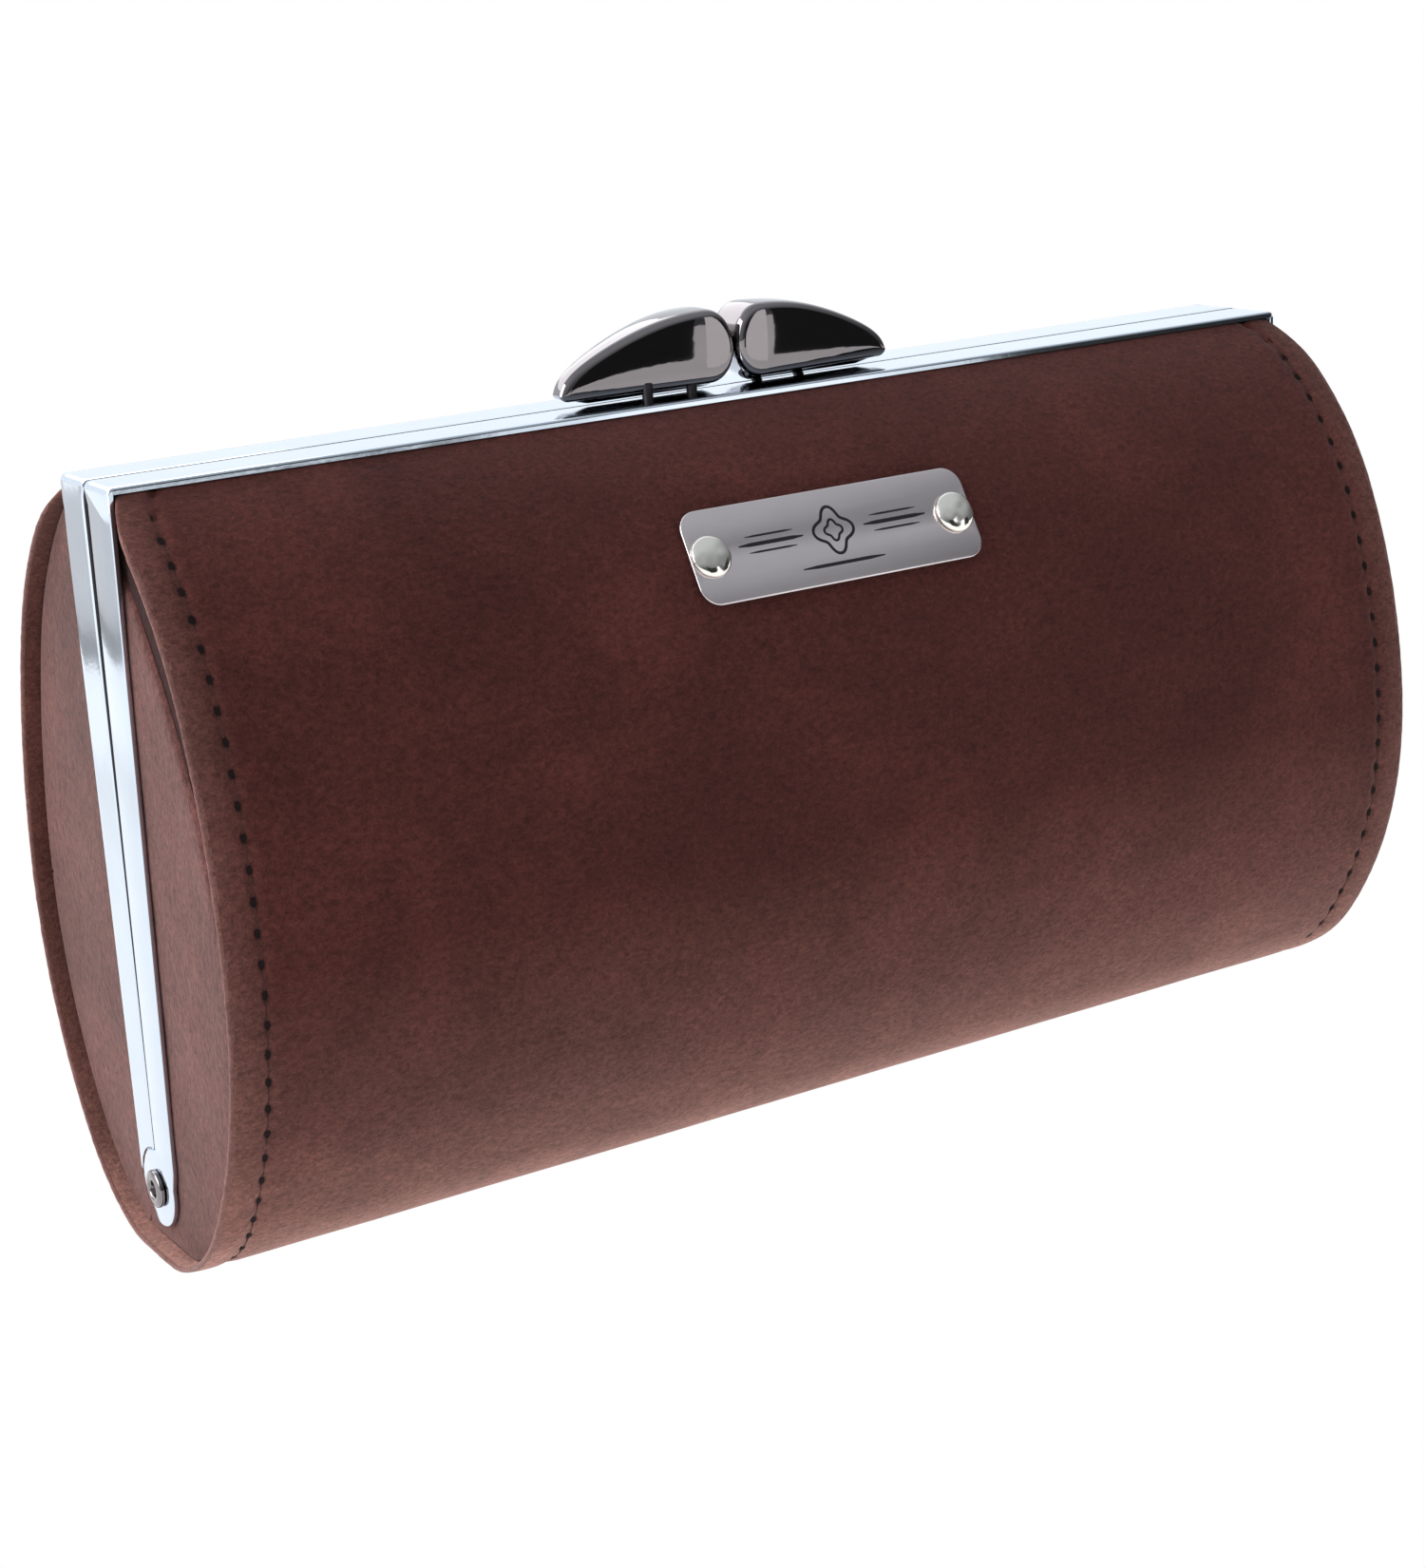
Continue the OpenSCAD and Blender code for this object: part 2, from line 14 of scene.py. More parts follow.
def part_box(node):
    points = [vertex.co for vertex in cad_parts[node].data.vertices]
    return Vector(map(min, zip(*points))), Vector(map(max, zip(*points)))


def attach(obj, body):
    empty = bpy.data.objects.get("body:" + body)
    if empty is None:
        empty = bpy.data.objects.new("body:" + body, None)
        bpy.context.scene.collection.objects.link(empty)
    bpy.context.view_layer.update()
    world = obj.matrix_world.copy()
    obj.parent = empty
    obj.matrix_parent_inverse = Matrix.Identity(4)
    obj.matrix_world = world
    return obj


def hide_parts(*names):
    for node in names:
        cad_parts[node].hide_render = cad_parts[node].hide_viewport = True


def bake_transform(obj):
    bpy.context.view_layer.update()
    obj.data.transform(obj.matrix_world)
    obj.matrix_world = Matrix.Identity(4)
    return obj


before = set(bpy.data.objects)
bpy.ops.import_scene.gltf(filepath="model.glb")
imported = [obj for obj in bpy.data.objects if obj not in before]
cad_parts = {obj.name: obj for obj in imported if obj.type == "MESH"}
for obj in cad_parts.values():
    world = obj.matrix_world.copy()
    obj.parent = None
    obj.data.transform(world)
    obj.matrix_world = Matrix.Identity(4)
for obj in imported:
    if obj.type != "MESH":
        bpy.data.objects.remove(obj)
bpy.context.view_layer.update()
MM = 0.001


def node_box(name):
    low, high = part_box(name)
    return np.array(low) / MM, np.array(high) / MM


# ---- sizes, from the CAD's nodes

FRAME_LOW, FRAME_HIGH = node_box("front_frame")
FRAME_X = FRAME_HIGH[0]
TOP = FRAME_HIGH[2]
BAR_HALF = -FRAME_LOW[1]
FRAME_T = 0.8
BAR_T = 0.9
FLANGE = 5.2
SEAM = 0.15
GAP_HALF = 0.9
NECK_HALF = 6.2
EYELET_LOW, EYELET_HIGH = node_box("left_hinge_eyelet")
HINGE_Z = (EYELET_LOW[2] + EYELET_HIGH[2]) / 2
EAR_R = 5.5
HINGE_HOLE = 1.72
GAP_FOOT = HINGE_Z + 11.5
GAP_TOP = TOP - 3.5
GAP_SHUT = TOP - 1.2
COVER_X = node_box("front_suede")[1][0]
SUEDE_T = 1.0
STITCH_X = COVER_X - 5.3
PITCH = 4.12
BASE_HALF = 11.5          # the soft strip of the cover below the hinge reaches this far each way

# The half outline: four tangent arcs, running down from the top bar
RADII = (52.0, 97.0, 62.5, 30.0)
CENTRES = tuple(np.array(c) for c in ((18.38, 64.54), (60.5, 48.7), (26.0, 48.7), (0.0, 29.2)))
START_Y = 0.3 - BAR_HALF
SLOPES = (math.asin((CENTRES[0][0] - START_Y) / RADII[0]), math.atan2(117, 44), math.pi / 2,
          math.pi - math.atan2(4, 3), math.pi)
ARCS = [RADII[i] * (SLOPES[i + 1] - SLOPES[i]) for i in range(4)]
HALF_LEN = sum(ARCS)                                 # from the top bar to the middle of the base
BASE_S = HALF_LEN - RADII[3] * math.asin(BASE_HALF / RADII[3])


def eased(z):
    """Height z, with the corner where the round side meets the flat base eased by a fold."""
    return 0.5 * (z + math.sqrt(z * z + 0.36)) - 0.1 * math.exp(-max(0.0, z))


def surface(s, depth=0.0):
    """(y, z) of the front half's cover at distance s down from the top bar, and its slope."""
    i, rest = 0, s
    while i < 3 and rest > ARCS[i]:
        rest -= ARCS[i]
        i += 1
    t = SLOPES[i] + rest / RADII[i]
    y, z = CENTRES[i] + (RADII[i] - depth) * np.array((-math.sin(t), math.cos(t)))
    return y, depth + eased(z - depth), t


def outline_y(z, depth):
    """How far in front of the middle the outline is at height z."""
    best = 0.0
    for i in range(4):
        reach = (RADII[i] - depth) ** 2 - (z - CENTRES[i][1]) ** 2
        if reach <= 0:
            continue
        y = math.sqrt(reach) - CENTRES[i][0]
        t = math.atan2(y + CENTRES[i][0], z - CENTRES[i][1])
        if SLOPES[i] - 0.2 * (i == 0) <= t <= SLOPES[i + 1] + 1e-6:
            best = y
    return best


# ---- mesh helpers

def show(name, data):
    obj = bpy.data.objects.new(name, data)
    bpy.context.scene.collection.objects.link(obj)
    return obj


def declare(obj, node=None, body=None):
    """Hides the CAD node that a piece stands for and hangs the piece on the body it rides on."""
    if node:
        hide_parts(node)
    if body:
        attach(obj, body)


def across_hinge(obj):
    """Bakes a piece's placement into its mesh."""
    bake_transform(obj)


class Parts:
    """Collects the verts and faces of several shapes that make one object."""

    def __init__(self):
        self.verts, self.faces, self.index = [], [], []

    def add(self, verts, faces, material=0):
        n = len(self.verts)
        self.verts += [tuple(v) for v in verts]
        self.faces += [tuple(i + n for i in f) for f in faces]
        self.index += [material] * len(faces)
        return self

    def take(self, other):
        n = len(self.verts)
        self.verts += other.verts
        self.faces += [tuple(i + n for i in f) for f in other.faces]
        self.index += other.index

    def piece(self, name, materials, angle, slot, node=None, body=None):
        """Makes and declares one piece, smooth but for edges sharper than angle, in degrees."""
        mesh = bpy.data.meshes.new(name)
        mesh.from_pydata([tuple(c * MM for c in v) for v in self.verts], [], self.faces)
        for m in materials:
            mesh.materials.append(m)
        mesh.polygons.foreach_set("material_index", self.index)
        bm = bmesh.new()
        bm.from_mesh(mesh)
        bmesh.ops.remove_doubles(bm, verts=bm.verts, dist=1e-7)
        bmesh.ops.recalc_face_normals(bm, faces=bm.faces)
        bm.to_mesh(mesh)
        bm.free()
        mesh.polygons.foreach_set("use_smooth", [True] * len(mesh.polygons))
        mesh.set_sharp_from_angle(angle=math.radians(angle))
        obj = show(name, mesh)
        declare(obj, node, body)
        return obj


def loft(sections, caps=True):
    """Faces between rings of equal length."""
    n = len(sections[0])
    verts = [p for s in sections for p in s]
    faces = []
    for r in range(len(sections) - 1):
        for c in range(n):
            a, b = r * n + c, r * n + (c + 1) % n
            faces.append((a, b, b + n, a + n))
    if caps:
        faces.append(tuple(range(n))[::-1])
        faces.append(tuple(range((len(sections) - 1) * n, len(sections) * n)))
    return verts, faces


def arc(cx, cy, r, a0, a1, steps):
    return [(cx + r * math.cos(math.radians(a0 + (a1 - a0) * k / steps)),
             cy + r * math.sin(math.radians(a0 + (a1 - a0) * k / steps))) for k in range(steps + 1)]


def circle(r, x=0.0, y=0.0, steps=40):
    return arc(x, y, r, 0, 360, steps)[:-1]


def plate(loops, thickness, bevel, place):
    """A flat plate with rounded edges. loops holds its outline and any holes in 2D, and place
    takes the plate's own frame, whose +Z is its outer face, to the row frame in millimetres."""
    curve = bpy.data.curves.new("plate", "CURVE")
    curve.dimensions, curve.fill_mode = "2D", "BOTH"
    curve.extrude, curve.bevel_depth, curve.bevel_resolution = thickness / 2 - bevel, bevel, 2
    curve.offset = -bevel
    for loop in loops:
        spline = curve.splines.new("POLY")
        spline.points.add(len(loop) - 1)
        for point, (x, y) in zip(spline.points, loop):
            point.co = (x, y, 0, 1)
        spline.use_cyclic_u = True
    maker = show("plate", curve)
    mesh = bpy.data.meshes.new_from_object(maker.evaluated_get(
        bpy.context.evaluated_depsgraph_get()))
    lift = Matrix.Translation((0, 0, -thickness / 2))
    verts = [place @ (lift @ v.co) for v in mesh.vertices]
    faces = [tuple(p.vertices) for p in mesh.polygons]
    bpy.data.objects.remove(maker)
    bpy.data.curves.remove(curve)
    bpy.data.meshes.remove(mesh)
    return verts, faces


def wobble(x, y, z, scale, seed=0.0):
    """Smooth noise from about -1 to 1 that varies over scale millimetres."""
    return noise.noise(Vector((x / scale + seed, y / scale, z / scale - seed)))


# ---- materials

def put(tree, socket, value):
    """Sets a socket to a plain value, or joins another node's output to it."""
    if isinstance(value, bpy.types.NodeSocket):
        tree.links.new(value, socket)
    else:
        socket.default_value = value


def fill(tree, node, **sockets):
    for key, value in sockets.items():
        put(tree, node.inputs[key.replace("_", " ")], value)
    return node


def new_node(tree, kind, **sockets):
    return fill(tree, tree.nodes.new("ShaderNode" + kind), **sockets)


def material(name, base, roughness, metallic=0.0, **sockets):
    m = bpy.data.materials.new(name)
    m.use_nodes = True
    m.diffuse_color = (*base, 1)
    shader = fill(m.node_tree, m.node_tree.nodes["Principled BSDF"], Base_Color=(*base, 1),
                  Roughness=roughness, Metallic=metallic, **sockets)
    return m, m.node_tree, shader


def mapped(tree, scale, rotation=(0, 0, 0)):
    """Object coordinates in units of 1/scale metres, so scale 1000 counts millimetres."""
    return new_node(tree, "Mapping", Scale=scale, Rotation=rotation,
                    Vector=new_node(tree, "TexCoord").outputs["Object"]).outputs["Vector"]


def millimetres(tree):
    return mapped(tree, (1000, 1000, 1000))


def noise_node(tree, vector, scale, detail=3.0, roughness=0.55, distortion=0.0):
    return new_node(tree, "TexNoise", Scale=scale, Detail=detail, Roughness=roughness,
                    Distortion=distortion, Vector=vector).outputs["Fac"]


def ramp(tree, source, stops):
    r = new_node(tree, "ValToRGB", Fac=source)
    while len(r.color_ramp.elements) < len(stops):
        r.color_ramp.elements.new(0.5)
    for element, (place, colour) in zip(r.color_ramp.elements, stops):
        element.position = place
        element.color = (*colour, 1)
    return r.outputs["Color"]


def mix_colour(tree, blend, fac, a, b):
    m = tree.nodes.new("ShaderNodeMix")
    m.data_type, m.blend_type = "RGBA", blend
    for socket, value in ((0, fac), (6, a), (7, b)):
        put(tree, m.inputs[socket], value)
    return m.outputs[2]


def map_range(tree, source, low, high, to_low=0.0, to_high=1.0):
    return new_node(tree, "MapRange", Value=source, From_Min=low, From_Max=high, To_Min=to_low,
                    To_Max=to_high).outputs["Result"]


def bumps(tree, shader, *layers):
    """Lays noises over each other as bumps, each (noise, strength, height in metres)."""
    below = {}
    for source, strength, distance in layers:
        b = new_node(tree, "Bump", Strength=strength, Distance=distance, Height=source, **below)
        below = {"Normal": b.outputs["Normal"]}
    fill(tree, shader, **below)


def scaled(colour, k):
    return tuple(min(1.0, c * k) for c in colour)


def suede_material(name, base, grain, patch, sheen, stretch, painted_light=None):
    """Napped leather: soft brushed patches, fine fibres that lie one way, and a sheen.
    Given painted_light, the colour turns towards it near the bottom of the case and near its ends:
    painted light from the floor and a painted sheen."""
    m, tree, shader = material(name, base, 0.92, Sheen_Weight=sheen, Sheen_Roughness=0.45,
                               Sheen_Tint=(1.0, 0.86, 0.82, 1), Specular_IOR_Level=0.12)
    metres = millimetres(tree)
    fibres = mapped(tree, tuple(1000 / s for s in stretch))
    clouds = noise_node(tree, metres, 0.022, 4, 0.6, 0.6)
    strokes = noise_node(tree, metres, 0.09, 3, 0.6, 1.2)
    hair = noise_node(tree, fibres, 1.1, 4, 0.7, 0.4)
    fine = noise_node(tree, metres, 3.2, 2, 0.6)
    colour = ramp(tree, clouds, ((0.32, scaled(base, 1 - patch)), (0.5, base),
                                 (0.70, scaled(base, 1 + patch * 1.3))))
    if painted_light:
        # painted light: paler towards the bottom and the ends, standing in for floor light and
        # sheen
        heights = new_node(tree, "SeparateXYZ", Vector=metres)
        low = ramp(tree, map_range(tree, heights.outputs["Z"], 0.0, 100.0), (
            (0.02, (1.0,) * 3), (0.10, (0.42,) * 3), (0.24, (0.17,) * 3), (0.5, (0.0,) * 3)))
        out = tree.nodes.new("ShaderNodeMath")
        out.operation = "ABSOLUTE"
        put(tree, out.inputs[0], heights.outputs["X"])
        reach = map_range(tree, out.outputs["Value"], COVER_X - 7, COVER_X, 0.0, 0.22)
        painted_light_share = mix_colour(tree, "ADD", 1.0, low, reach)
        pale = ramp(tree, strokes, ((0.3, scaled(painted_light, 0.85)), (0.7, painted_light)))
        colour = mix_colour(tree, "MIX", painted_light_share, colour, pale)
    for source, deep, low, high in ((strokes, patch * 0.5, 0.3, 0.7), (hair, grain, 0.3, 0.68),
                                    (fine, grain * 0.6, 0.3, 0.7)):
        shade = ramp(tree, source, ((low, (1 - deep,) * 3), (high, (1.0,) * 3)))
        colour = mix_colour(tree, "MULTIPLY", 1.0, colour, shade)
    fill(tree, shader, Base_Color=colour)
    bumps(tree, shader, (hair, 0.6, 0.00022), (fine, 0.5, 0.00010), (strokes, 0.35, 0.0006))
    return m


def metal_material(name, base, roughness, wear):
    """Polished plate: faint hairlines, small dents of the buffing wheel and a few fingermarks."""
    m, tree, shader = material(name, base, roughness, 1.0)
    smears = noise_node(tree, millimetres(tree), 0.16, 3, 0.6, 0.5)
    hair = noise_node(tree, mapped(tree, (40, 1400, 1400)), 1.0, 2, 0.5)
    fill(tree, shader, Roughness=map_range(tree, smears, 0.0, 1.0, roughness, roughness + wear),
         Base_Color=ramp(tree, smears, ((0.35, scaled(base, 0.97)), (0.65, base))))
    bumps(tree, shader, (hair, 0.03, 0.00005), (smears, 0.05, 0.0003))
    return m


def cloth_material(name, base, sheen, weave, roughness=0.85):
    """Woven pile or satin: crossed threads finer than a millimetre and a soft uneven shade."""
    m, tree, shader = material(name, base, roughness, Sheen_Weight=sheen, Sheen_Roughness=0.35,
                               Specular_IOR_Level=0.2)
    metres = millimetres(tree)
    turned = mapped(tree, (1000, 1000, 1000), (0, 0, math.pi / 2))
    waves = [new_node(tree, "TexWave", Scale=weave, Distortion=1.2, Detail=2,
                      Vector=source).outputs["Fac"] for source in (metres, turned)]
    clouds = noise_node(tree, metres, 0.07, 4, 0.6)
    fine = noise_node(tree, metres, 2.4, 3, 0.6)
    a = ramp(tree, clouds, ((0.3, scaled(base, 0.72)), (0.7, scaled(base, 1.25))))
    b = ramp(tree, fine, ((0.3, (0.8,) * 3), (0.7, (1.0,) * 3)))
    fill(tree, shader, Base_Color=mix_colour(tree, "MULTIPLY", 1.0, a, b))
    bumps(tree, shader, (waves[0], 0.25, 0.00008), (waves[1], 0.25, 0.00008),
          (fine, 0.4, 0.00012))
    return m


def board_material():
    """Grey-brown pressed board with flecks of fibre."""
    base = (0.33, 0.26, 0.19)
    m, tree, shader = material("board_fibre", base, 0.9)
    flecks = noise_node(tree, millimetres(tree), 1.8, 4, 0.7)
    fill(tree, shader, Base_Color=ramp(tree, flecks, (
        (0.3, scaled(base, 0.7)), (0.5, base), (0.75, scaled(base, 1.4)))))
    bumps(tree, shader, (flecks, 0.4, 0.0001))
    return m


# the cover's last colour is its painted light, laid on near the bottom and the ends
SUEDE = suede_material("suede_cover", (0.136, 0.037, 0.031), 0.56, 0.26, 0.14, (1.1, 0.8, 0.8),
                       (0.68, 0.34, 0.275))
END_SUEDE = suede_material("suede_ends", (0.172, 0.065, 0.056), 0.64, 0.30, 0.25, (0.9, 1.0, 1.4))
# the rim's paler suede: the turned edge's paler nap, with a painted highlight along it
RIM_HIGHLIGHT = suede_material("suede_rim_highlight", (0.27, 0.125, 0.108), 0.45, 0.2, 0.3, (0.8, 0.8, 0.8))
# painted shade for the front walls' edge, tucked in behind the cover's rim
TUCK_SHADE = suede_material("suede_painted_shade", (0.046, 0.018, 0.017), 0.5, 0.2, 0.05, (1.0, 1.0, 1.6))
CHROME = metal_material("frame_chrome", (0.60, 0.665, 0.745), 0.07, 0.03)
GUNMETAL = metal_material("gunmetal", (0.24, 0.22, 0.225), 0.03, 0.02)
NICKEL = metal_material("rivet_nickel", (0.90, 0.87, 0.80), 0.08, 0.06)
PLATE = metal_material("plate_satin", (0.70, 0.64, 0.65), 0.20, 0.03)
# dark metal for the engraving, the studs and as painted shade in the frame's seams and the gap
# between the arms
DARK_METAL_AND_SHADE = metal_material("dark_metal_and_painted_shade", (0.05, 0.045, 0.05), 0.45, 0.1)
THREAD = cloth_material("thread_cotton", (0.075, 0.030, 0.027), 0.1, 1.6)
# painted shade inside the needle holes
HOLE_SHADE = cloth_material("needle_hole_shade", (0.010, 0.005, 0.005), 0.0, 1.0)
VELVET = cloth_material("velvet_pile", (0.105, 0.036, 0.034), 0.7, 1.1)
SATIN = cloth_material("pocket_satin", (0.16, 0.062, 0.056), 0.3, 1.7, 0.42)
BOARD = board_material()


# ---- suede cover

HOLE_START = 0.2          # the first needle hole is this share of a stitch down the cover
HOLES = [(k + HOLE_START) * PITCH for k in range(int(HALF_LEN / PITCH) + 1)
         if (k + HOLE_START) * PITCH < HALF_LEN - 1]


def cover_dip(x, s):
    """How far the seam pulls the cover's surface in at (x, s), with the soft waves between."""
    s = min(s, 2 * HALF_LEN - s)
    off = abs(abs(x) - STITCH_X)
    dip = 0.20 * math.exp(-(off / 1.0) ** 2)
    if off < 2.2:
        k = round(s / PITCH - HOLE_START)
        along = s - (k + HOLE_START) * PITCH
        if 0 <= k < len(HOLES):
            dip += 0.42 * math.exp(-(off / 0.62) ** 2 - (along / 0.85) ** 2)
    dip += 0.07 * (1 + wobble(x, s, 0, 17)) + 0.03 * (1 + wobble(x, s, 3, 5))
    edge = max(0.0, 1 - (COVER_X - abs(x)) / 3.2)
    return dip + 0.25 * edge * edge


def cover_columns():
    """Where the cover's mesh has its columns: close together at its edges and its seams."""
    right = [COVER_X - 0.5 - off for off in (0, 0.3, 0.7, 1.2, 1.8, 2.4)]
    right += [STITCH_X + 2.2 - 0.36 * k for k in range(13)]
    right += [STITCH_X - off for off in (3.4, 5, 8, 13)] + [74, 64, 54, 44, 34, 24, 15, 7.5]
    right = sorted(set(round(v, 3) for v in right))
    return [-v for v in right[::-1]] + [0.0] + right


def cover_section(s, columns):
    """One closed ring round the cover's thickness at distance s."""
    mirrored = s > HALF_LEN
    along = 2 * HALF_LEN - s if mirrored else s
    squeeze = 1 - 2.5 * max(0.0, 1 - along / 12) ** 2 / COVER_X

    def at(x, depth):
        y, z, _ = surface(along, depth)
        return (x * squeeze, -y if mirrored else y, z)

    def rim(side):
        points = []
        for k in range(1, 8):
            a = math.pi * k / 8
            lift = cover_dip(side * columns[-1], s) * (1 + math.cos(a)) / 2
            fuzz = 0.05 * wobble(side * 10, s, 0, 1.3) + 0.03 * wobble(side * 20, s, k, 0.6)
            points.append(at(side * (COVER_X - 0.5 + 0.5 * math.sin(a) + fuzz),
                             0.5 - 0.5 * math.cos(a) + lift))
        return points

    back = [COVER_X - 0.5, COVER_X - 1.6, COVER_X - 3.5]
    back = [at(x, SUEDE_T) for x in back + [-x for x in back[::-1]]]
    return [at(x, cover_dip(x, s)) for x in columns] + rim(1) + back + rim(-1)[::-1]


def cover_piece(name, node, s0, s1, body=None, flip=False):
    columns = cover_columns()
    rows = max(8, int(round((s1 - s0) / 0.5)))
    rings = [cover_section(s0 + (s1 - s0) * k / rows, columns) for k in range(rows + 1)]
    if flip:
        rings = [[(x, -y, z) for x, y, z in ring] for ring in rings]
    obj = Parts().add(*loft(rings)).piece(name, [SUEDE, RIM_HIGHLIGHT], 75, "suede", node, body)
    # faces along the rim take the paler rim suede with its painted highlight
    for poly in obj.data.polygons:
        fray = 0.25 * wobble(poly.center.x, poly.center.y / MM, poly.center.z / MM, 1.5)
        if abs(poly.center.x) > (COVER_X - 0.65 + fray) * MM:
            poly.material_index = 1
    return obj


cover_piece("front_cover", "front_suede", 0.02, BASE_S, "front_half")
cover_piece("back_cover", "back_suede", 0.02, BASE_S, "back_half", flip=True)
base_cover = cover_piece("base_cover", "base_suede", BASE_S, 2 * HALF_LEN - BASE_S)
across_hinge(base_cover)


# ---- stitching

def on_cover(x, s, depth, flip):
    """A frame on the cover at (x, s): +X along the case, +Z outward, origin at that depth."""
    y, z, t = surface(s, depth)
    turn = Matrix.Rotation(t, 4, "X")
    place = Matrix.Translation((x, y, z)) @ turn
    if flip:
        place = Matrix.Diagonal((1, -1, 1, 1)) @ place
    return place


def stitches(places, flip):
    parts = Parts()
    for side in (-1, 1):
        for n, s in enumerate(places):
            tilt = 0.16 * wobble(side * 3, s, 0, 1.7)
            # the needle hole: a small dimple in painted shade, longer along the seam than across it
            rings = []
            for j, (grow, depth) in enumerate(((0.98, 0.02), (0.80, 0.05), (0.5, 0.02),
                                               (0.2, 0.0))):
                place = on_cover(side * STITCH_X + tilt, s, 0.34 - depth, flip)
                ring = []
                for k, (x, y) in enumerate(circle(grow, steps=16)):
                    rough = 1 + 0.22 * wobble(side * 5 + k, s, j, 1.1)
                    ring.append(place @ Vector((0.38 * rough * x, 0.68 * rough * y, 0)))
                rings.append(ring)
            parts.add(*loft(rings), material=1)
            # the thread on to the next hole, sunk into its groove between the two
            if n + 1 == len(places):
                continue
            run = places[n + 1] - s
            sections = []
            for k in range(13):
                f = k / 12
                deep = 0.46 + 0.42 * (abs(2 * f - 1) ** 5)
                place = on_cover(side * STITCH_X + tilt * (1 - f), s + run * f, deep, flip)
                ring = []
                for j, (x, z) in enumerate(circle(0.19, steps=8)):
                    twist = 1 + 0.12 * math.cos(math.pi * j / 2 + f * 26)
                    ring.append(place @ Vector((x * twist, 0, z * twist)))
                sections.append(ring)
            parts.add(*loft(sections))
    return parts


beside = [s for s in HOLES if s <= BASE_S]
under = [s for s in HOLES if s > beside[-1] - 0.1]
base_rows = stitches(under, False)
base_rows.take(stitches(under, True))
for name, parts, body in (("front", stitches(beside, False), "front_half"),
                          ("back", stitches(beside, True), "back_half"),
                          ("base", base_rows, None)):
    obj = parts.piece(f"{name}_stitches", [THREAD, HOLE_SHADE], 60, "thread", f"{name}_stitching", body)
across_hinge(obj)


# ---- end walls

PANEL_FACE = node_box("front_right_end_suede")[1][0]
WALL_BACK = PANEL_FACE - 0.8
EAR_ROOM = 5.2            # the wall stops this far from the hinge's axis
TUCK_Z = 48               # above this height the front walls are tucked in behind the rim, and their tucked edge is in painted shade


def panel_inner_y(z):
    """Where the end wall stops, out of sight behind the frame's arms and ears."""
    edge, below = 1.95, HINGE_Z - z
    if below > 0:
        return max(edge, below, math.sqrt(max(0.0, EAR_ROOM ** 2 - below ** 2)))
    return max(edge, EAR_ROOM) if below > -9.5 else edge


def tuck_width(z):
    """How much of the wall's edge is tucked in behind the cover's rim at height z. On the front
    walls that band is painted in shade.
    """
    rise = min(1.0, max(0.0, (z - TUCK_Z) / 58))
    return 3.4 + 11.0 * rise ** 0.95 if rise > 0 else 0.9


def panel_bulge(y, z, edge_off, tucked=False):
    """The soft wall's own shape: tucked in along its sewn edge, with shallow ripples."""
    ripple = 0.16 * wobble(y, z, 0, 15) + 0.07 * wobble(y, z, 5, 5)
    edge_off = max(edge_off, 0)
    width = tuck_width(z) if tucked else 0.6
    step = 1 / (1 + math.exp(min(50.0, (edge_off - width) / 0.16)))
    return -0.72 * step - 0.20 * math.exp(-(max(0, edge_off - width) / 1.2) ** 2) + ripple * (
        1 - math.exp(-(edge_off / 3) ** 2)) - 0.12


def end_wall(name, side, flip, body, node):
    outer_depth = SUEDE_T + 0.04
    low = 1.2
    while outline_y(low, outer_depth) < panel_inner_y(low) + 0.2:
        low += 0.05
    high = TOP - BAR_T - 0.1
    rows, cols = 150, 60
    sections = []
    for r in range(rows + 1):
        z = low + (high - low) * r / rows
        inner = panel_inner_y(z)
        outer = max(outline_y(z, outer_depth), inner + 0.01)
        fold_y = max(inner + 0.01, outer - tuck_width(z))
        line, back = [], []
        for c in range(cols + 1):
            y = inner + (fold_y - inner) * 2 * c / cols
            if c > cols / 2:
                y = fold_y + (outer - fold_y) * (2 * c / cols - 1)
            x = PANEL_FACE + panel_bulge(y, z, outer - y, not flip)
            line.append((side * x, y if flip else -y, z))
            back.append((side * WALL_BACK, y if flip else -y, z))
        sections.append(line + back[::-1])
    obj = Parts().add(*loft(sections)).piece(name, [END_SUEDE, TUCK_SHADE], 60, "end_suede", node,
                                             body)
    # on the front walls the tucked band takes the dark suede: painted shade under the rim
    for poly in obj.data.polygons:
        y, z = abs(poly.center.y) / MM, poly.center.z / MM
        if not flip and z > TUCK_Z + 1 and outline_y(z, outer_depth) - y < tuck_width(z) - 0.02:
            poly.material_index = 1


for side, word in ((-1, "left"), (1, "right")):
    end_wall(f"front_{word}_wall", side, False, "front_half", f"front_{word}_end_suede")
    end_wall(f"back_{word}_wall", side, True, "back_half", f"back_{word}_end_suede")


def gusset(name, side, node):
    """The soft wall below the hinge, between the two folds."""
    turns, rings = 28, 9
    sections = []
    for k in range(turns + 1):
        a = math.radians(-45 + 90 * k / turns)
        reach = EAR_ROOM
        while True:
            y, z = reach * math.sin(a), HINGE_Z - reach * math.cos(a)
            if z <= SUEDE_T + 0.05 or abs(y) >= outline_y(max(z, 0.9), SUEDE_T + 0.04):
                break
            reach += 0.02
        line, back = [], []
        for j in range(rings + 1):
            r = 4.95 + (reach - 4.95) * j / rings
            y, z = r * math.sin(a), HINGE_Z - r * math.cos(a)
            line.append((side * (PANEL_FACE + panel_bulge(abs(y), z, reach - r)), y, z))
            back.append((side * WALL_BACK, y, z))
        sections.append(line + back[::-1])
    across_hinge(Parts().add(*loft(sections)).piece(name, [END_SUEDE], 60, "end_suede", node))


for side, word in ((-1, "left"), (1, "right")):
    gusset(f"{word}_lower_wall", side, f"{word}_gusset")


# ---- metal frame

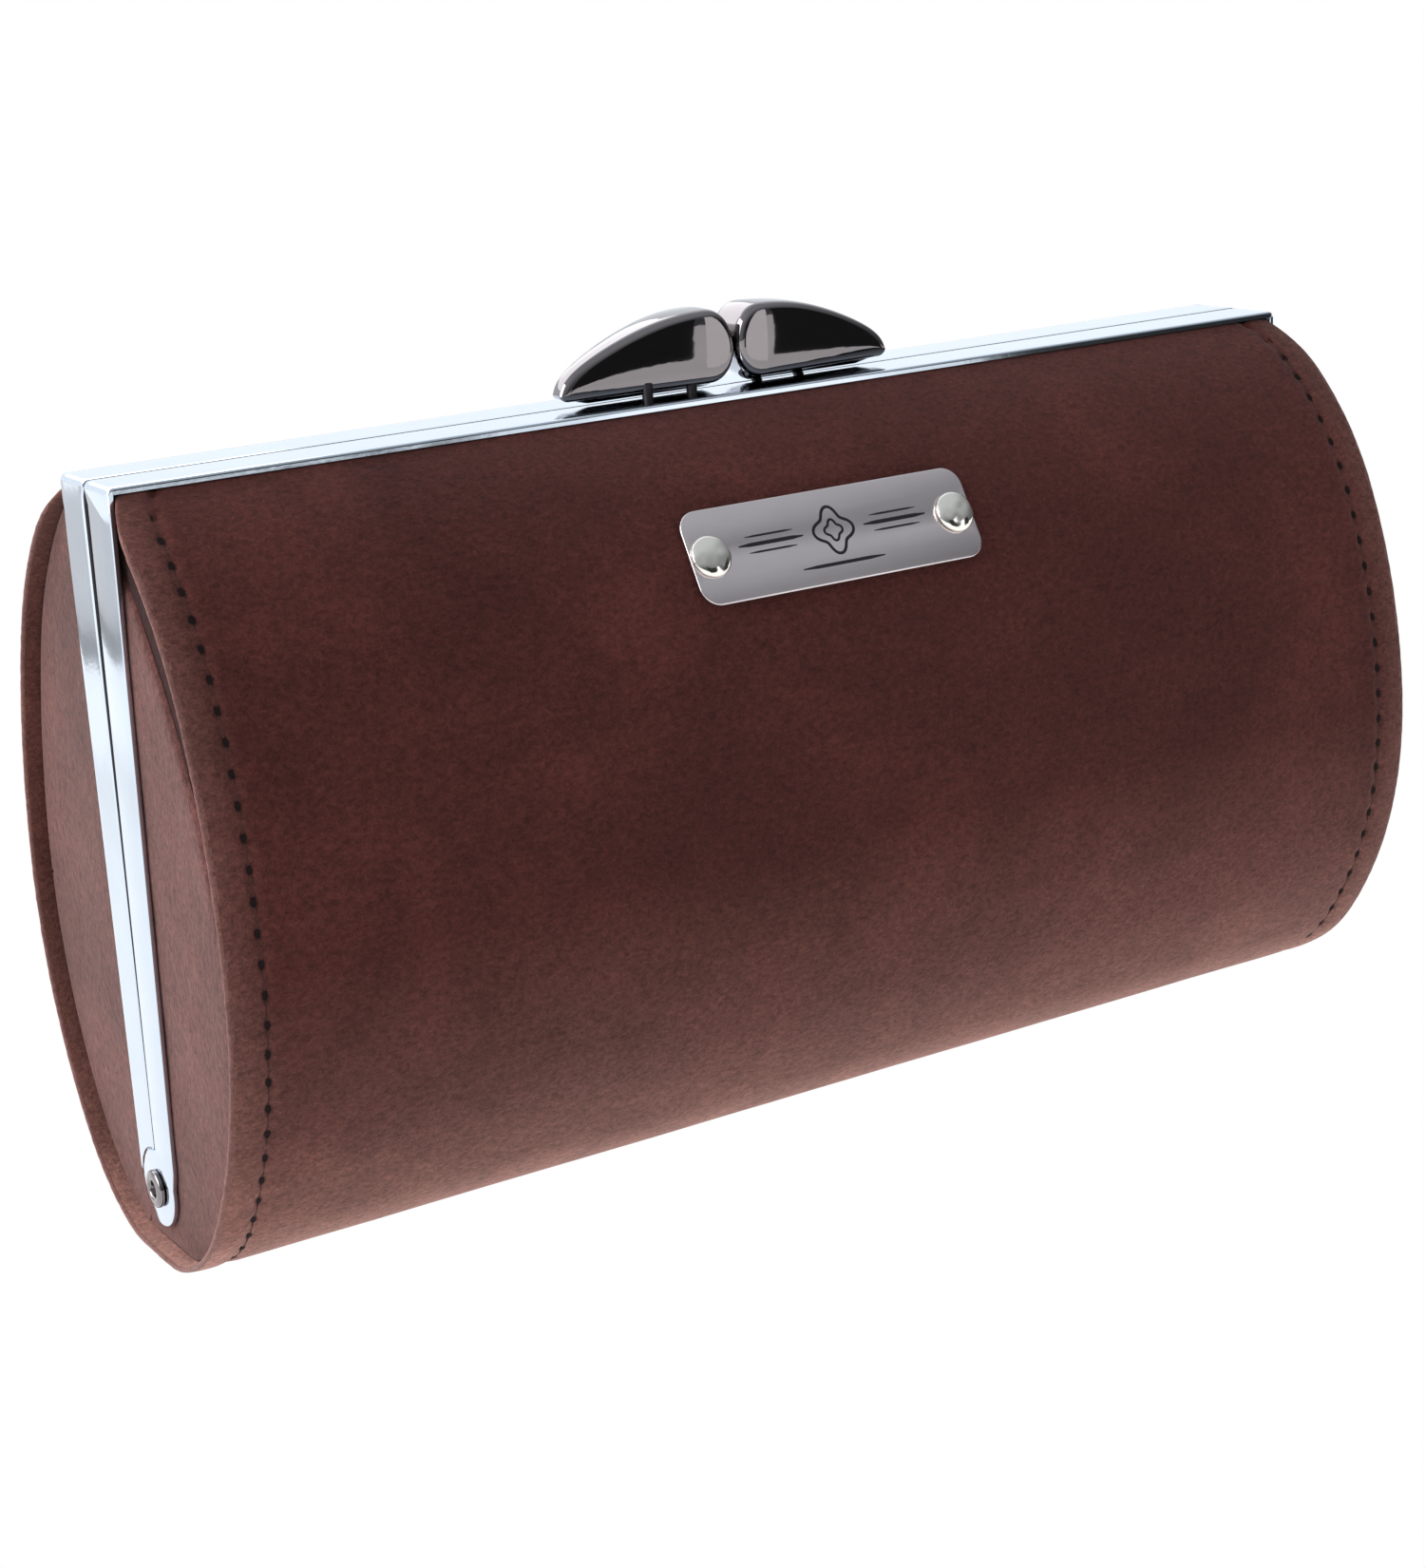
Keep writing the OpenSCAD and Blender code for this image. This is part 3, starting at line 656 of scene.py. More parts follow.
ARM_TOP = TOP - BAR_T + 0.04     # the arms end under the bar
ARM_RINGS, BAR_RINGS = 72, 39    # cross sections along an arm and along a bar
ARM_SEAM, BAR_SEAM = (16, 20), (12, 15)    # the columns of faces that turn down into the seam, painted in shade with the dark metal


def gap_half(z):
    """Half the gap between the arms at height z."""
    if z >= GAP_TOP:
        f = min(1.0, (z - GAP_TOP) / (GAP_SHUT - GAP_TOP))
        return SEAM + (GAP_HALF - SEAM) * math.sqrt(max(0.0, 1 - f * f))
    if z <= GAP_FOOT:
        return SEAM
    return SEAM + (GAP_HALF - SEAM) * (z - GAP_FOOT) / (GAP_TOP - GAP_FOOT)


def arm_outer(z):
    return NECK_HALF + (BAR_HALF - NECK_HALF) * max(0.0, z - HINGE_Z - 4) / (TOP - HINGE_Z - 4)


def arm_loft(side, bend_top, bend_foot, low):
    """One arm as a bent strip: its face is at the end of the case and its flange runs inward.
    The bend between them is rounder at the top than at the foot."""
    sections = []
    for f in np.linspace(0, 1, ARM_RINGS):
        bend = bend_foot + (bend_top - bend_foot) * f
        inner_bend = max(0.08, bend - FRAME_T)

        def at(x, y_of, f=f):
            foot = HINGE_Z + math.sqrt(max(0.0, (EAR_R + 0.35) ** 2 - y_of(low) ** 2))
            z = foot + (ARM_TOP - foot) * f
            return (side * x, y_of(z), z)

        ring = [at(FRAME_X - FRAME_T, arm_outer), at(FRAME_X - 0.28, arm_outer)]
        for x, y in arc(FRAME_X - 0.22, -0.22, 0.22, 90, 0, 4):
            ring.append(at(x, lambda z, y=y: arm_outer(z) + y))
        for k in range(1, 6):
            ring.append(at(FRAME_X, lambda z, k=k: arm_outer(z) - 0.25 + (
                gap_half(z) + bend - arm_outer(z) + 0.25) * k / 6))
        for x, y in arc(FRAME_X - bend, bend, bend, 0, -90, 8):
            ring.append(at(x, lambda z, y=y: gap_half(z) + y))
        ring.append(at(FRAME_X - FLANGE, gap_half))
        ring.append(at(FRAME_X - FLANGE, lambda z: gap_half(z) + FRAME_T))
        for x, y in arc(FRAME_X - FRAME_T - inner_bend, FRAME_T + inner_bend, inner_bend,
                        -90, 0, 5):
            ring.append(at(x, lambda z, y=y: gap_half(z) + y))
        ring.append(at(FRAME_X - FRAME_T, lambda z: arm_outer(z) - 1.0))
        sections.append(ring)
    return loft(sections)


def bar_loft(sign):
    """Half of the top bar, with its front edge rounded and its seam edge turned down. Its ends
    round over on to the arms."""
    turn = BAR_T - 0.02

    def ring(x, drop):
        top = TOP - drop
        front = BAR_HALF - 0.25 * drop / turn
        curl = min(0.36, (BAR_T - drop) * 0.9)
        foot = TOP - (FLANGE if abs(x) < 97.5 else BAR_T + 0.02)
        points = [(front - 0.08, TOP - BAR_T), (front, TOP - BAR_T + 0.01)]
        points.append((front, top - curl - 0.04 * (1 - drop / turn)))
        points += [(front - curl + p, top - curl + q) for p, q in arc(0, 0, curl, 0, 90, 4)]
        points += [(front * (1 - k / 5) + SEAM * k / 5, top) for k in range(1, 5)]
        curl *= 0.35
        points += [(SEAM + curl + p, top - curl + q) for p, q in arc(0, 0, curl, 90, 180, 3)]
        points += [(SEAM, foot), (SEAM + FRAME_T, foot), (SEAM + FRAME_T, TOP - BAR_T)]
        return [(x, sign * y, z) for y, z in points]

    ends = [(FRAME_X - turn * (1 - math.cos(a)), turn * (1 - math.sin(a)))
            for a in np.linspace(0, math.pi / 2, 8)]
    ends += [(97.51, 0.0), (97.49, 0.0)]
    stations = [(-x, drop) for x, drop in ends] + [(x, 0.0) for x in np.linspace(-90, 90, 19)]
    return loft([ring(x, drop) for x, drop in stations + ends[::-1]])


def yz_place(x, side):
    """Stands a plate up in the YZ plane with its outer face at x, on the left or the right."""
    if side > 0:
        return Matrix(((0, 0, 1, x), (1, 0, 0, 0), (0, 1, 0, 0), (0, 0, 0, 1)))
    return Matrix(((0, 0, -1, -x), (1, 0, 0, 0), (0, 1, 0, 0), (0, 0, 0, 1)))


def front_face_outline():
    """The front arm and its ear as one outline of (y, z)."""
    left = [(-arm_outer(z), z) for z in np.linspace(ARM_TOP, HINGE_Z + 4, 20)]
    ear = arc(0, HINGE_Z, EAR_R, 180 - 12, 360 + 88.44, 55)
    right = [(-gap_half(z), z) for z in np.linspace(HINGE_Z + EAR_R + 0.1, GAP_SHUT, 50)]
    right.append((-SEAM, ARM_TOP))
    return left + ear[:-1] + right


def darkened(loft_parts, rings, first, last):
    """One lofted shape whose faces between two columns of points have the second material, the dark
    metal painted as shade in a seam.
    """
    shape = Parts().add(*loft_parts)
    size = len(shape.verts) // rings
    shape.index = [1 if i < (rings - 1) * size and first <= i % size <= last else 0
                   for i in range(len(shape.faces))]
    return shape


def front_frame():
    parts = darkened(bar_loft(-1), BAR_RINGS, *BAR_SEAM)
    face = front_face_outline()
    hole = circle(HINGE_HOLE, 0, HINGE_Z)
    for side in (-1, 1):
        parts.add(*plate([face, hole], FRAME_T, 0.16, yz_place(FRAME_X, side)))
        sections = []
        for z in np.linspace(HINGE_Z + 7.5, ARM_TOP - 0.1, 40):
            g = gap_half(z)
            sections.append([(side * x, -y, z) for x, y in (
                (FRAME_X - 0.2, g), (FRAME_X - FLANGE, g), (FRAME_X - FLANGE, g + FRAME_T),
                (FRAME_X - 0.2, g + FRAME_T))])
        parts.add(*loft(sections))
    parts.piece("front_frame_metal", [CHROME, DARK_METAL_AND_SHADE], 32, "frame_chrome", "front_frame",
                "front_half")


def back_frame():
    """The back arms, the tongues that close the gap behind them and the ears inside the hinge."""
    parts = darkened(bar_loft(1), BAR_RINGS, *BAR_SEAM)
    ear_x = FRAME_X - FRAME_T - 0.1
    for side in (-1, 1):
        arm = arm_loft(side, 0.75, 0.35, HINGE_Z + EAR_R - 2)
        parts.take(darkened(arm, ARM_RINGS, *ARM_SEAM))
        # the tongue takes the dark metal as painted shade in the gap between the arms
        tongue = [(SEAM + 0.1, GAP_FOOT), (GAP_HALF + 0.1, GAP_TOP), (-0.05, GAP_TOP),
                  (0.0, GAP_FOOT)]
        parts.add(*plate([tongue], 0.6, 0.06, yz_place(FRAME_X - 1.8, side)), material=1)
        ear = circle(4.7, 0, HINGE_Z, 56)
        hole = circle(HINGE_HOLE, 0, HINGE_Z)
        parts.add(*plate([ear, hole], 0.7, 0.1, yz_place(ear_x, side)))
        # its neck, and the step from the neck out to the arm
        for y0, y1, z0, z1, thick, x in ((0.35, 4.7, 3, 9.5, 0.68, ear_x - 0.01),
                                         (0.5, 4.5, 6.4, 8.8, 1.3, FRAME_X - 0.4)):
            corners = [(y, HINGE_Z + z) for y, z in ((y0, z0), (y1, z0), (y1, z1), (y0, z1))]
            parts.add(*plate([corners], thick, 0.1, yz_place(x, side)))
    parts.piece("back_frame_metal", [CHROME, DARK_METAL_AND_SHADE], 32, "frame_chrome", "back_frame",
                "back_half")


front_frame()
back_frame()


# ---- hinge eyelets

def eyelet(name, side, node):
    inner, outer = abs(EYELET_HIGH[0]), abs(EYELET_LOW[0])
    profile = [(inner, 1.2), (outer - 0.35, 1.2), (outer - 0.1, 1.32), (outer, 1.62),
               (outer - 0.03, 1.95), (outer - 0.12, 2.2), (outer - 0.2, 2.42), (outer - 0.32, 2.62),
               (outer - 0.55, 2.7), (outer - 0.8, 2.66), (outer - 0.88, 2.5), (outer - 0.88, 1.7),
               (inner + 0.62, 1.7), (inner + 0.6, 2.4), (inner + 0.4, 2.5), (inner + 0.1, 2.4)]
    turned = [[(side * x, r * y, HINGE_Z + r * z) for x, r in profile]
              for y, z in arc(0, 0, 1, 0, 360, 48)]
    Parts().add(*loft(turned, caps=False)).piece(name, [GUNMETAL], 50, "gunmetal", node,
                                                 "back_half")


for side, word in ((-1, "left"), (1, "right")):
    eyelet(f"{word}_eyelet", side, f"{word}_hinge_eyelet")


# ---- kiss-lock clasp

FINGER_FOOT = TOP + 0.95
FINGER_H = 11.0
FINGER_L = 28.6
FINGER_NEAR = 0.12
FINGER_HALF = 4.4
BULB = 0.17               # share of the length taken by the round end


def finger_profile(f):
    """Bottom and top of the finger's side view at share f of its length."""
    if f < BULB:
        top = 0.46 + 0.54 * math.sqrt(max(0.0, 1 - (1 - f / BULB) ** 2.3))
    else:
        v = (f - BULB) / (1 - BULB)
        top = max(0.0, 1 - v * v) ** (0.80 - 0.30 * v ** 3)
    bottom = 0.46 * (1 - math.sqrt(max(0.0, 1 - max(0.0, 1 - f / 0.155) ** 2.2)))
    tip = max(0.0, (f - 0.945) / 0.055)
    floor_z = 0.13 * (1 - math.sqrt(max(0.0, 1 - tip ** 2)))
    low = FINGER_FOOT + FINGER_H * max(bottom, floor_z)
    return low, max(FINGER_FOOT + FINGER_H * top, low + 0.02)


def finger(name, side, node, body):
    """A flat-faced teardrop whose two faces roll over to its edge through a tight rim."""
    count, across = 96, 30
    rim_y, rim_d = 1.9, 1.25
    shares = [min(max(0.5 - 0.5 * math.cos(math.pi * k / count), 0.0006), 0.9994)
              for k in range(count + 1)]
    start = np.array([(FINGER_NEAR + (FINGER_L - FINGER_NEAR) * f, finger_profile(f)[edge])
                      for edge, order in ((1, 1), (0, -1)) for f in shares[::order]])
    run = np.roll(start, -1, axis=0) - start
    size = np.maximum((run ** 2).sum(axis=1), 1e-12)

    def depth_in(x, z):
        offset = np.array((x, z)) - start
        share = np.clip((offset * run).sum(axis=1) / size, 0, 1)
        return np.sqrt(((offset - run * share[:, None]) ** 2).sum(axis=1)).min()

    sections = []
    for f in shares:
        x = FINGER_NEAR + (FINGER_L - FINGER_NEAR) * f
        low, high = finger_profile(f)
        taper = max(0.0, (f - BULB) / (1 - BULB))
        half = FINGER_HALF * (1 - 0.60 * taper ** 1.3)
        rim = min(rim_y, half * 0.55)
        face = []
        for k in range(across + 1):
            v = 0.5 - 0.5 * math.cos(math.pi * k / across)
            z = low + (high - low) * v
            d = min(depth_in(x, z) / rim_d, 1.0)
            crown = 0.35 * (4 * v * (1 - v)) ** 0.8 - 0.35
            face.append((half - rim + rim * math.sqrt(1 - (1 - d) ** 2) + crown * (d > 0) * d, z))
        ring = [(side * x, -y, z) for y, z in face]
        flat = face[-1][0]
        ring += [(side * x, -flat + 2 * flat * k / 6, high + 0.12 * math.sin(math.pi * k / 6))
                 for k in range(1, 6)]
        ring += [(side * x, y, z) for y, z in face[::-1]]
        flat = face[0][0]
        belly = 0.72 * min(1.0, 9 * min(f - 0.03, 0.93 - f)) if 0.03 < f < 0.93 else 0.02
        ring += [(side * x, flat - 2 * flat * k / 10, low - belly * math.sin(math.pi * k / 10))
                 for k in range(1, 10)]
        sections.append(ring)
    parts = Parts().add(*loft(sections))
    for x in (7.5, 15):
        stud = []
        for z, r in ((TOP - BAR_T - 0.68, 1.1), (TOP - BAR_T - 0.6, 1.2), (TOP - BAR_T, 1.2),
                     (TOP + 0.02, 0.8), (FINGER_FOOT + 0.6, 0.8), (FINGER_FOOT + 1.4, 0.8)):
            stud.append([(*p, z) for p in circle(r, side * x, side * 2.9, 28)])
        parts.add(*loft(stud), material=1)
    parts.piece(name, [GUNMETAL, DARK_METAL_AND_SHADE], 60, "gunmetal", node, body)


finger("left_clasp_finger", -1, "front_clasp_finger", "front_half")
finger("right_clasp_finger", 1, "back_clasp_finger", "back_half")


# ---- nameplate

PLATE_S = 26.1
PLATE_W = 2 * node_box("nameplate")[1][0]
PLATE_H = 14.2
PLATE_T = 0.8
RIVET_X = 20.9


def rounded_rectangle(w, h, r, steps=8):
    loop = []
    for cx, cy, a in ((w / 2 - r, h / 2 - r, 0), (-w / 2 + r, h / 2 - r, 90),
                      (-w / 2 + r, -h / 2 + r, 180), (w / 2 - r, -h / 2 + r, 270)):
        loop += arc(cx, cy, r, a, a + 90, steps)
    return loop


def strip(path, half, place, closed):
    """A thin raised line that follows a path on the plate's face."""
    rings = []
    n = len(path)
    for k in range(n + (1 if closed else 0)):
        p = np.array(path[k % n])
        q = np.array(path[(k + 1) % n if closed else min(k + 1, n - 1)])
        o = np.array(path[(k - 1) % n if closed else max(k - 1, 0)])
        d = (q - o) / max(np.linalg.norm(q - o), 1e-9)
        side = np.array((-d[1], d[0]))
        taper = half if closed else half * min(1.0, 0.35 + 4 * min(k, n - 1 - k) / n)
        rings.append([place @ Vector((*(p + side * taper * across), 0.05 * up))
                      for across, up in circle(1, steps=6)])
    return loft(rings, caps=not closed)


def nameplate():
    base = on_cover(0, PLATE_S, 0, False)
    place = base @ Matrix.Translation((0, 0, 0.05 + PLATE_T))
    holes = [circle(1.04, sx * RIVET_X, 0) for sx in (-1, 1)]
    parts = Parts().add(*plate([rounded_rectangle(PLATE_W, PLATE_H, 3.0)] + holes, PLATE_T, 0.22,
                               place))
    lines = Parts()
    # a plain engraved emblem: a lozenge between two rules, and a short rule below them
    lozenge = [(3.4 * c * (1 - 1.28 * (c * s) ** 2), 0.7 + 3.6 * s * (1 - 1.28 * (c * s) ** 2))
               for c, s in circle(1, steps=48)]
    lines.add(*strip(lozenge, 0.24, place, True))
    small = [(p[0] * 0.45, 0.7 + (p[1] - 0.7) * 0.45) for p in lozenge]
    lines.add(*strip(small, 0.2, place, True))
    rules = [(y, sx * x0, sx * x1, w) for sx in (-1, 1)
             for y, x0, x1, w in ((0.7, 5.2, 16.0, 0.30), (1.9, 6.6, 14.6, 0.16),
                                  (-0.5, 6.6, 14.6, 0.16))]
    for y, x0, x1, w in rules + [(-4.3, -7, 7, 0.26)]:
        lines.add(*strip([(x, y) for x in np.linspace(x0, x1, 13)], w, place, False))
    parts.piece("nameplate_metal", [PLATE], 32, "nameplate_metal", "nameplate", "front_half")
    lines.piece("nameplate_engraving", [DARK_METAL_AND_SHADE], 60, "nameplate_metal", body="front_half")

    rivets = Parts()
    head_r, head_h = 3.1, 1.3
    for sx in (-1, 1):
        at = place @ Matrix.Translation((sx * RIVET_X, 0, 0.02))
        profile = [(1.0, -3.4), (1.0, 0.0), (head_r - 0.35, 0.0), (head_r - 0.08, 0.1),
                   (head_r, 0.3)]
        profile += [(head_r * c ** 0.9, 0.3 + (head_h - 0.3) * s)
                    for c, s in arc(0, 0, 1, 0, 90, 14)[1:-1]]
        profile.append((0.05, head_h))
        rings = []
        for r, z in profile:
            rings.append([at @ Vector((x, y, z + 0.10 * wobble(sx * 9 + x, y, z, 1.5) * (
                z > 0.35))) for x, y in circle(r)])
        rivets.add(*loft(rings))
    rivets.piece("nameplate_rivets", [NICKEL], 50, "rivet_nickel", "plate_rivets", "front_half")


nameplate()


# ---- lining

LINING_DEPTH = 3.9
LINING_X, _, LINING_TOP = node_box("front_lining")[1]
ROOM_DEPTH = 3.95         # the pocket hangs on the room's wall, this deep under the cover


def velvet_ring(s, sign, puff_at):
    """One closed ring of the padded skin at distance s, which puff_at(x) thickens."""
    points = [(x, LINING_DEPTH - puff_at(x)) for x in np.linspace(-LINING_X, LINING_X, 97)]
    ring = []
    for x, depth in points + [(x, LINING_DEPTH - 0.78) for x in (LINING_X, -LINING_X)]:
        y, z, _ = surface(s, depth)
        ring.append((x, sign * y, z))
    return ring


def lining_half(name, sign, body, node):
    """A thin padded velvet skin over the inside of the shell and its two end boards."""
    parts = Parts()
    rows = 130
    start = 0.0
    while surface(start, LINING_DEPTH)[1] > LINING_TOP:
        start += 0.1
    parts.add(*loft([velvet_ring(s, sign, lambda x, s=s: 0.10 * wobble(x, s, 11 + sign, 9)
                                 + 0.06 * wobble(x, s, 31, 3.5) + 0.1)
                     for s in np.linspace(start, BASE_S - 2, rows + 1)]))
    for side in (-1, 1):
        low = 4.4
        while outline_y(low, LINING_DEPTH - 0.4) < panel_inner_y(low) + 0.3:
            low += 0.05
        sections = []
        for r in range(91):
            z = low + (LINING_TOP - low) * r / 90
            inner, outer = panel_inner_y(z), outline_y(z, LINING_DEPTH - 0.3)
            outer = max(outer, inner + 0.05)
            face, back = [], []
            for c in range(21):
                y = inner + (outer - inner) * c / 20
                edge = min(outer - y, y - inner)
                puff = 0.12 * (1 - math.exp(-edge / 1.5)) + 0.08 * wobble(y, z, side * 7, 8)
                face.append((side * (LINING_X - 0.68 - puff), -sign * y, z))
                back.append((side * (LINING_X - 0.02), -sign * y, z))
            sections.append(face + back[::-1])
        parts.add(*loft(sections))
    parts.piece(name, [VELVET], 60, "lining", node, body)


lining_half("front_velvet", 1, "front_half", "front_lining")
lining_half("back_velvet", -1, "back_half", "back_lining")


def base_velvet():
    sections = [velvet_ring(min(s, 2 * HALF_LEN - s), 1 if s <= HALF_LEN else -1,
                            lambda x, s=s: 0.10 * wobble(x, s, 12, 9) + 0.1)
                for s in np.linspace(BASE_S - 2, 2 * HALF_LEN - BASE_S + 2, 49)]
    obj = Parts().add(*loft(sections)).piece("base_velvet", [VELVET], 60, "lining", "base_lining")
    across_hinge(obj)


base_velvet()


# ---- padded ring bank and dividers

def simulate(obj, pressure, cap, steps=20):
    """Swells a closed pad as cloth with air in it, then limits how far any point has moved."""
    rest = np.array([v.co for v in obj.data.vertices])
    cloth = obj.modifiers.new("swell", "CLOTH")
    settings = cloth.settings
    settings.use_pressure = True
    settings.uniform_pressure_force = pressure
    settings.effector_weights.gravity = 0
    settings.mass = 0.2
    settings.tension_stiffness = settings.compression_stiffness = 12
    settings.bending_stiffness = 0.3
    cloth.point_cache.frame_end = steps
    scene = bpy.context.scene
    for f in range(1, steps + 1):
        scene.frame_set(f)
    moved_mesh = obj.evaluated_get(bpy.context.evaluated_depsgraph_get()).to_mesh()
    moved = np.array([v.co for v in moved_mesh.vertices])
    obj.modifiers.remove(cloth)
    scene.frame_set(1)
    shift = moved - rest
    size = np.linalg.norm(shift, axis=1, keepdims=True)
    shift *= np.minimum(1, cap * MM / np.maximum(size, 1e-9))
    obj.data.vertices.foreach_set("co", (rest + shift).astype(np.float32).ravel())
    obj.data.update()


def pad_from_node(name, node, voxel, shrink, pressure, cap):
    """A stuffed piece grown by simulation from the room that its CAD solid holds."""
    obj = show(name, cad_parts[node].data.copy())
    remesh = obj.modifiers.new("remesh", "REMESH")
    remesh.mode, remesh.voxel_size = "VOXEL", voxel * MM
    bpy.context.view_layer.update()
    mesh = bpy.data.meshes.new_from_object(obj.evaluated_get(
        bpy.context.evaluated_depsgraph_get()))
    obj.modifiers.clear()
    obj.data = mesh
    mesh.materials.clear()
    mesh.materials.append(VELVET)
    for v in mesh.vertices:
        v.co -= v.normal * shrink * MM
    mesh.update()
    simulate(obj, pressure, cap)
    bm = bmesh.new()
    bm.from_mesh(obj.data)
    for _ in range(2):
        bmesh.ops.smooth_vert(bm, verts=bm.verts, factor=0.5, use_axis_x=True, use_axis_y=True,
                              use_axis_z=True)
    bm.to_mesh(obj.data)
    bm.free()
    for v in obj.data.vertices:
        p = v.co / MM
        v.co += v.normal * MM * 0.10 * wobble(p.x, p.y, p.z, 6)
    obj.data.polygons.foreach_set("use_smooth", [True] * len(obj.data.polygons))
    declare(obj, node, "front_half")


for i in range(1, 6):
    pad_from_node(f"ring_pad_{i}", f"ring_roll_{i}", 1.6, 0.55, 3.0, 0.5)
pad_from_node("ring_bank_pad", "ring_bank_base", 2.0, 0.5, 2.0, 0.4)
pad_from_node("tall_divider", "centre_divider", 0.5, 0.05, 0.0, 0.0)
pad_from_node("short_divider", "cross_divider", 0.5, 0.05, 0.0, 0.0)


# ---- gathered pocket

def pocket():
    low, high = node_box("back_pocket")
    half_w = high[0]
    wall = [(outline_y(z, ROOM_DEPTH), z) for z in np.linspace(low[2] + 0.2, high[2], 40)]
    sections = []
    cols = 260
    for r, (wall_y, z) in enumerate(wall):
        f = r / (len(wall) - 1)
        ring_out, ring_in = [], []
        for c in range(cols + 1):
            u = c / cols
            x = -half_w + 2 * half_w * u
            side = min(1.0, min(u, 1 - u) * 12)
            foot = min(1.0, f * 5)
            stand = 0.5 + 2.9 * math.sin(side * math.pi / 2) * math.sin(foot * math.pi / 2)
            gather = (0.25 + 0.5 * f) * (0.6 * math.sin(x * 1.25 + 2.2 * wobble(x, z, 0, 26))
                                         + 0.4 * wobble(x, z * 0.35, 2, 2.6))
            gather *= math.sin(side * math.pi / 2)
            y = wall_y - max(0.15, stand + 0.55 * gather - 0.2)
            ring_out.append((x, y, z))
            ring_in.append((x, y + 0.25, z))
        sections.append(ring_out + ring_in[::-1])
    obj = Parts().add(*loft(sections)).piece("back_pocket_cloth", [SATIN], 70, "pocket_satin",
                                             "back_pocket", "back_half")
    band_low, band_high = node_box("pocket_band")
    rings = []
    for c in range(cols + 1):
        u = c / cols
        x = band_low[0] + (band_high[0] - band_low[0]) * u
        z_mid = (band_low[2] + band_high[2]) / 2
        y_mid = outline_y(z_mid, ROOM_DEPTH) - 0.35 - 2.9 * math.sin(
            min(1.0, min(u, 1 - u) * 12) * math.pi / 2)
        pinch = 1 + 0.10 * math.sin(x * 2.1 + 3 * wobble(x, 0, 0, 20)) + 0.05 * wobble(x, 1, 1, 2)
        rings.append([(x, y_mid + 0.55 * pinch * p, z_mid + 1.9 * (2 - pinch) * 0.97 * q)
                      for p, q in circle(1, steps=16)])
    Parts().add(*loft(rings)).piece("pocket_hem", [SATIN], 60, "pocket_satin", "pocket_band",
                                    "back_half")


pocket()


# ---- CAD nodes that stay

for name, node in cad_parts.items():
    if not node.hide_render:
        node.data.materials.clear()
        node.data.materials.append(BOARD if "board" in name or "shell" in name else
                                   GUNMETAL if "nuts" in name else NICKEL)


# ---- camera, floor and light

def look(location, forward, right, lens, shift):
    data = bpy.data.cameras.new("camera")
    data.sensor_fit, data.sensor_width, data.lens = "AUTO", 36, lens
    data.shift_x, data.shift_y = shift
    data.clip_start, data.clip_end = 0.01, 200
    camera = show("camera", data)
    right = (right - forward * right.dot(forward)).normalized()
    turn = Matrix((right, right.cross(forward), -forward)).transposed()
    camera.matrix_world = Matrix.Translation(location) @ turn.to_4x4()
    bpy.context.scene.camera = camera


look(Vector((-0.2314, -0.3763, 0.0645 + TOP * MM)), Vector((0.5032, 0.8368, -0.2157)).normalized(),
     Vector((0.8485, -0.5258, -0.0604)), 68.86, (0.0024, -0.1152))

TABLE_DROP = 0.022    # metres; clears the front half, which swings below the base when it opens


def studio_sheet(name, corners, roughness, scale, dark, pale, **sockets):
    """One flat paper of the studio, out of the camera's sight, with a grain from dark to pale."""
    m, tree, shader = material(name + "_paper", (pale,) * 3, roughness, **sockets)
    grain = noise_node(tree, mapped(tree, (1, 1, 1)), scale, 2)
    fill(tree, shader, Base_Color=ramp(tree, grain, ((0.3, (dark,) * 3), (0.7, (pale,) * 3))))
    mesh = bpy.data.meshes.new(name)
    mesh.from_pydata(corners, [], [(0, 1, 2, 3)])
    mesh.materials.append(m)
    obj = show(name, mesh)
    obj.visible_camera = False
    return obj


def floor():
    """A pale light table. The camera looks past it, on to paper as white as the photo's."""
    size = 60.0
    table = studio_sheet("floor", [(-size, -size, 0), (size, -size, 0), (size, size, 0),
                                   (-size, size, 0)], 0.8, 3.0, 0.24, 0.26, Emission_Strength=0.90,
                         Emission_Color=(0.98, 0.99, 1.0, 1))
    table.location = (0, 0, -TABLE_DROP)


def card(name, centre, turn, size, shade, glow=0.0):
    """An upright studio card that faces the case."""
    w, h = size
    obj = studio_sheet(name, [(-w / 2, 0, 0), (w / 2, 0, 0), (w / 2, 0, h), (-w / 2, 0, h)], 0.95,
                       8.0, shade * 0.85, shade, Specular_IOR_Level=0.0, Emission_Strength=glow,
                       Emission_Color=(1.0, 0.95, 0.94, 1))
    obj.location = centre
    obj.rotation_euler = (0, 0, math.radians(turn))


def lamp(name, location, target, size, power):
    data = bpy.data.lights.new(name, "AREA")
    data.shape = "RECTANGLE"
    data.size, data.size_y = size
    data.energy = power
    obj = show(name, data)
    obj.location = location
    obj.rotation_mode = "QUATERNION"
    obj.rotation_quaternion = (Vector(target) - Vector(location)).to_track_quat("-Z", "Y")


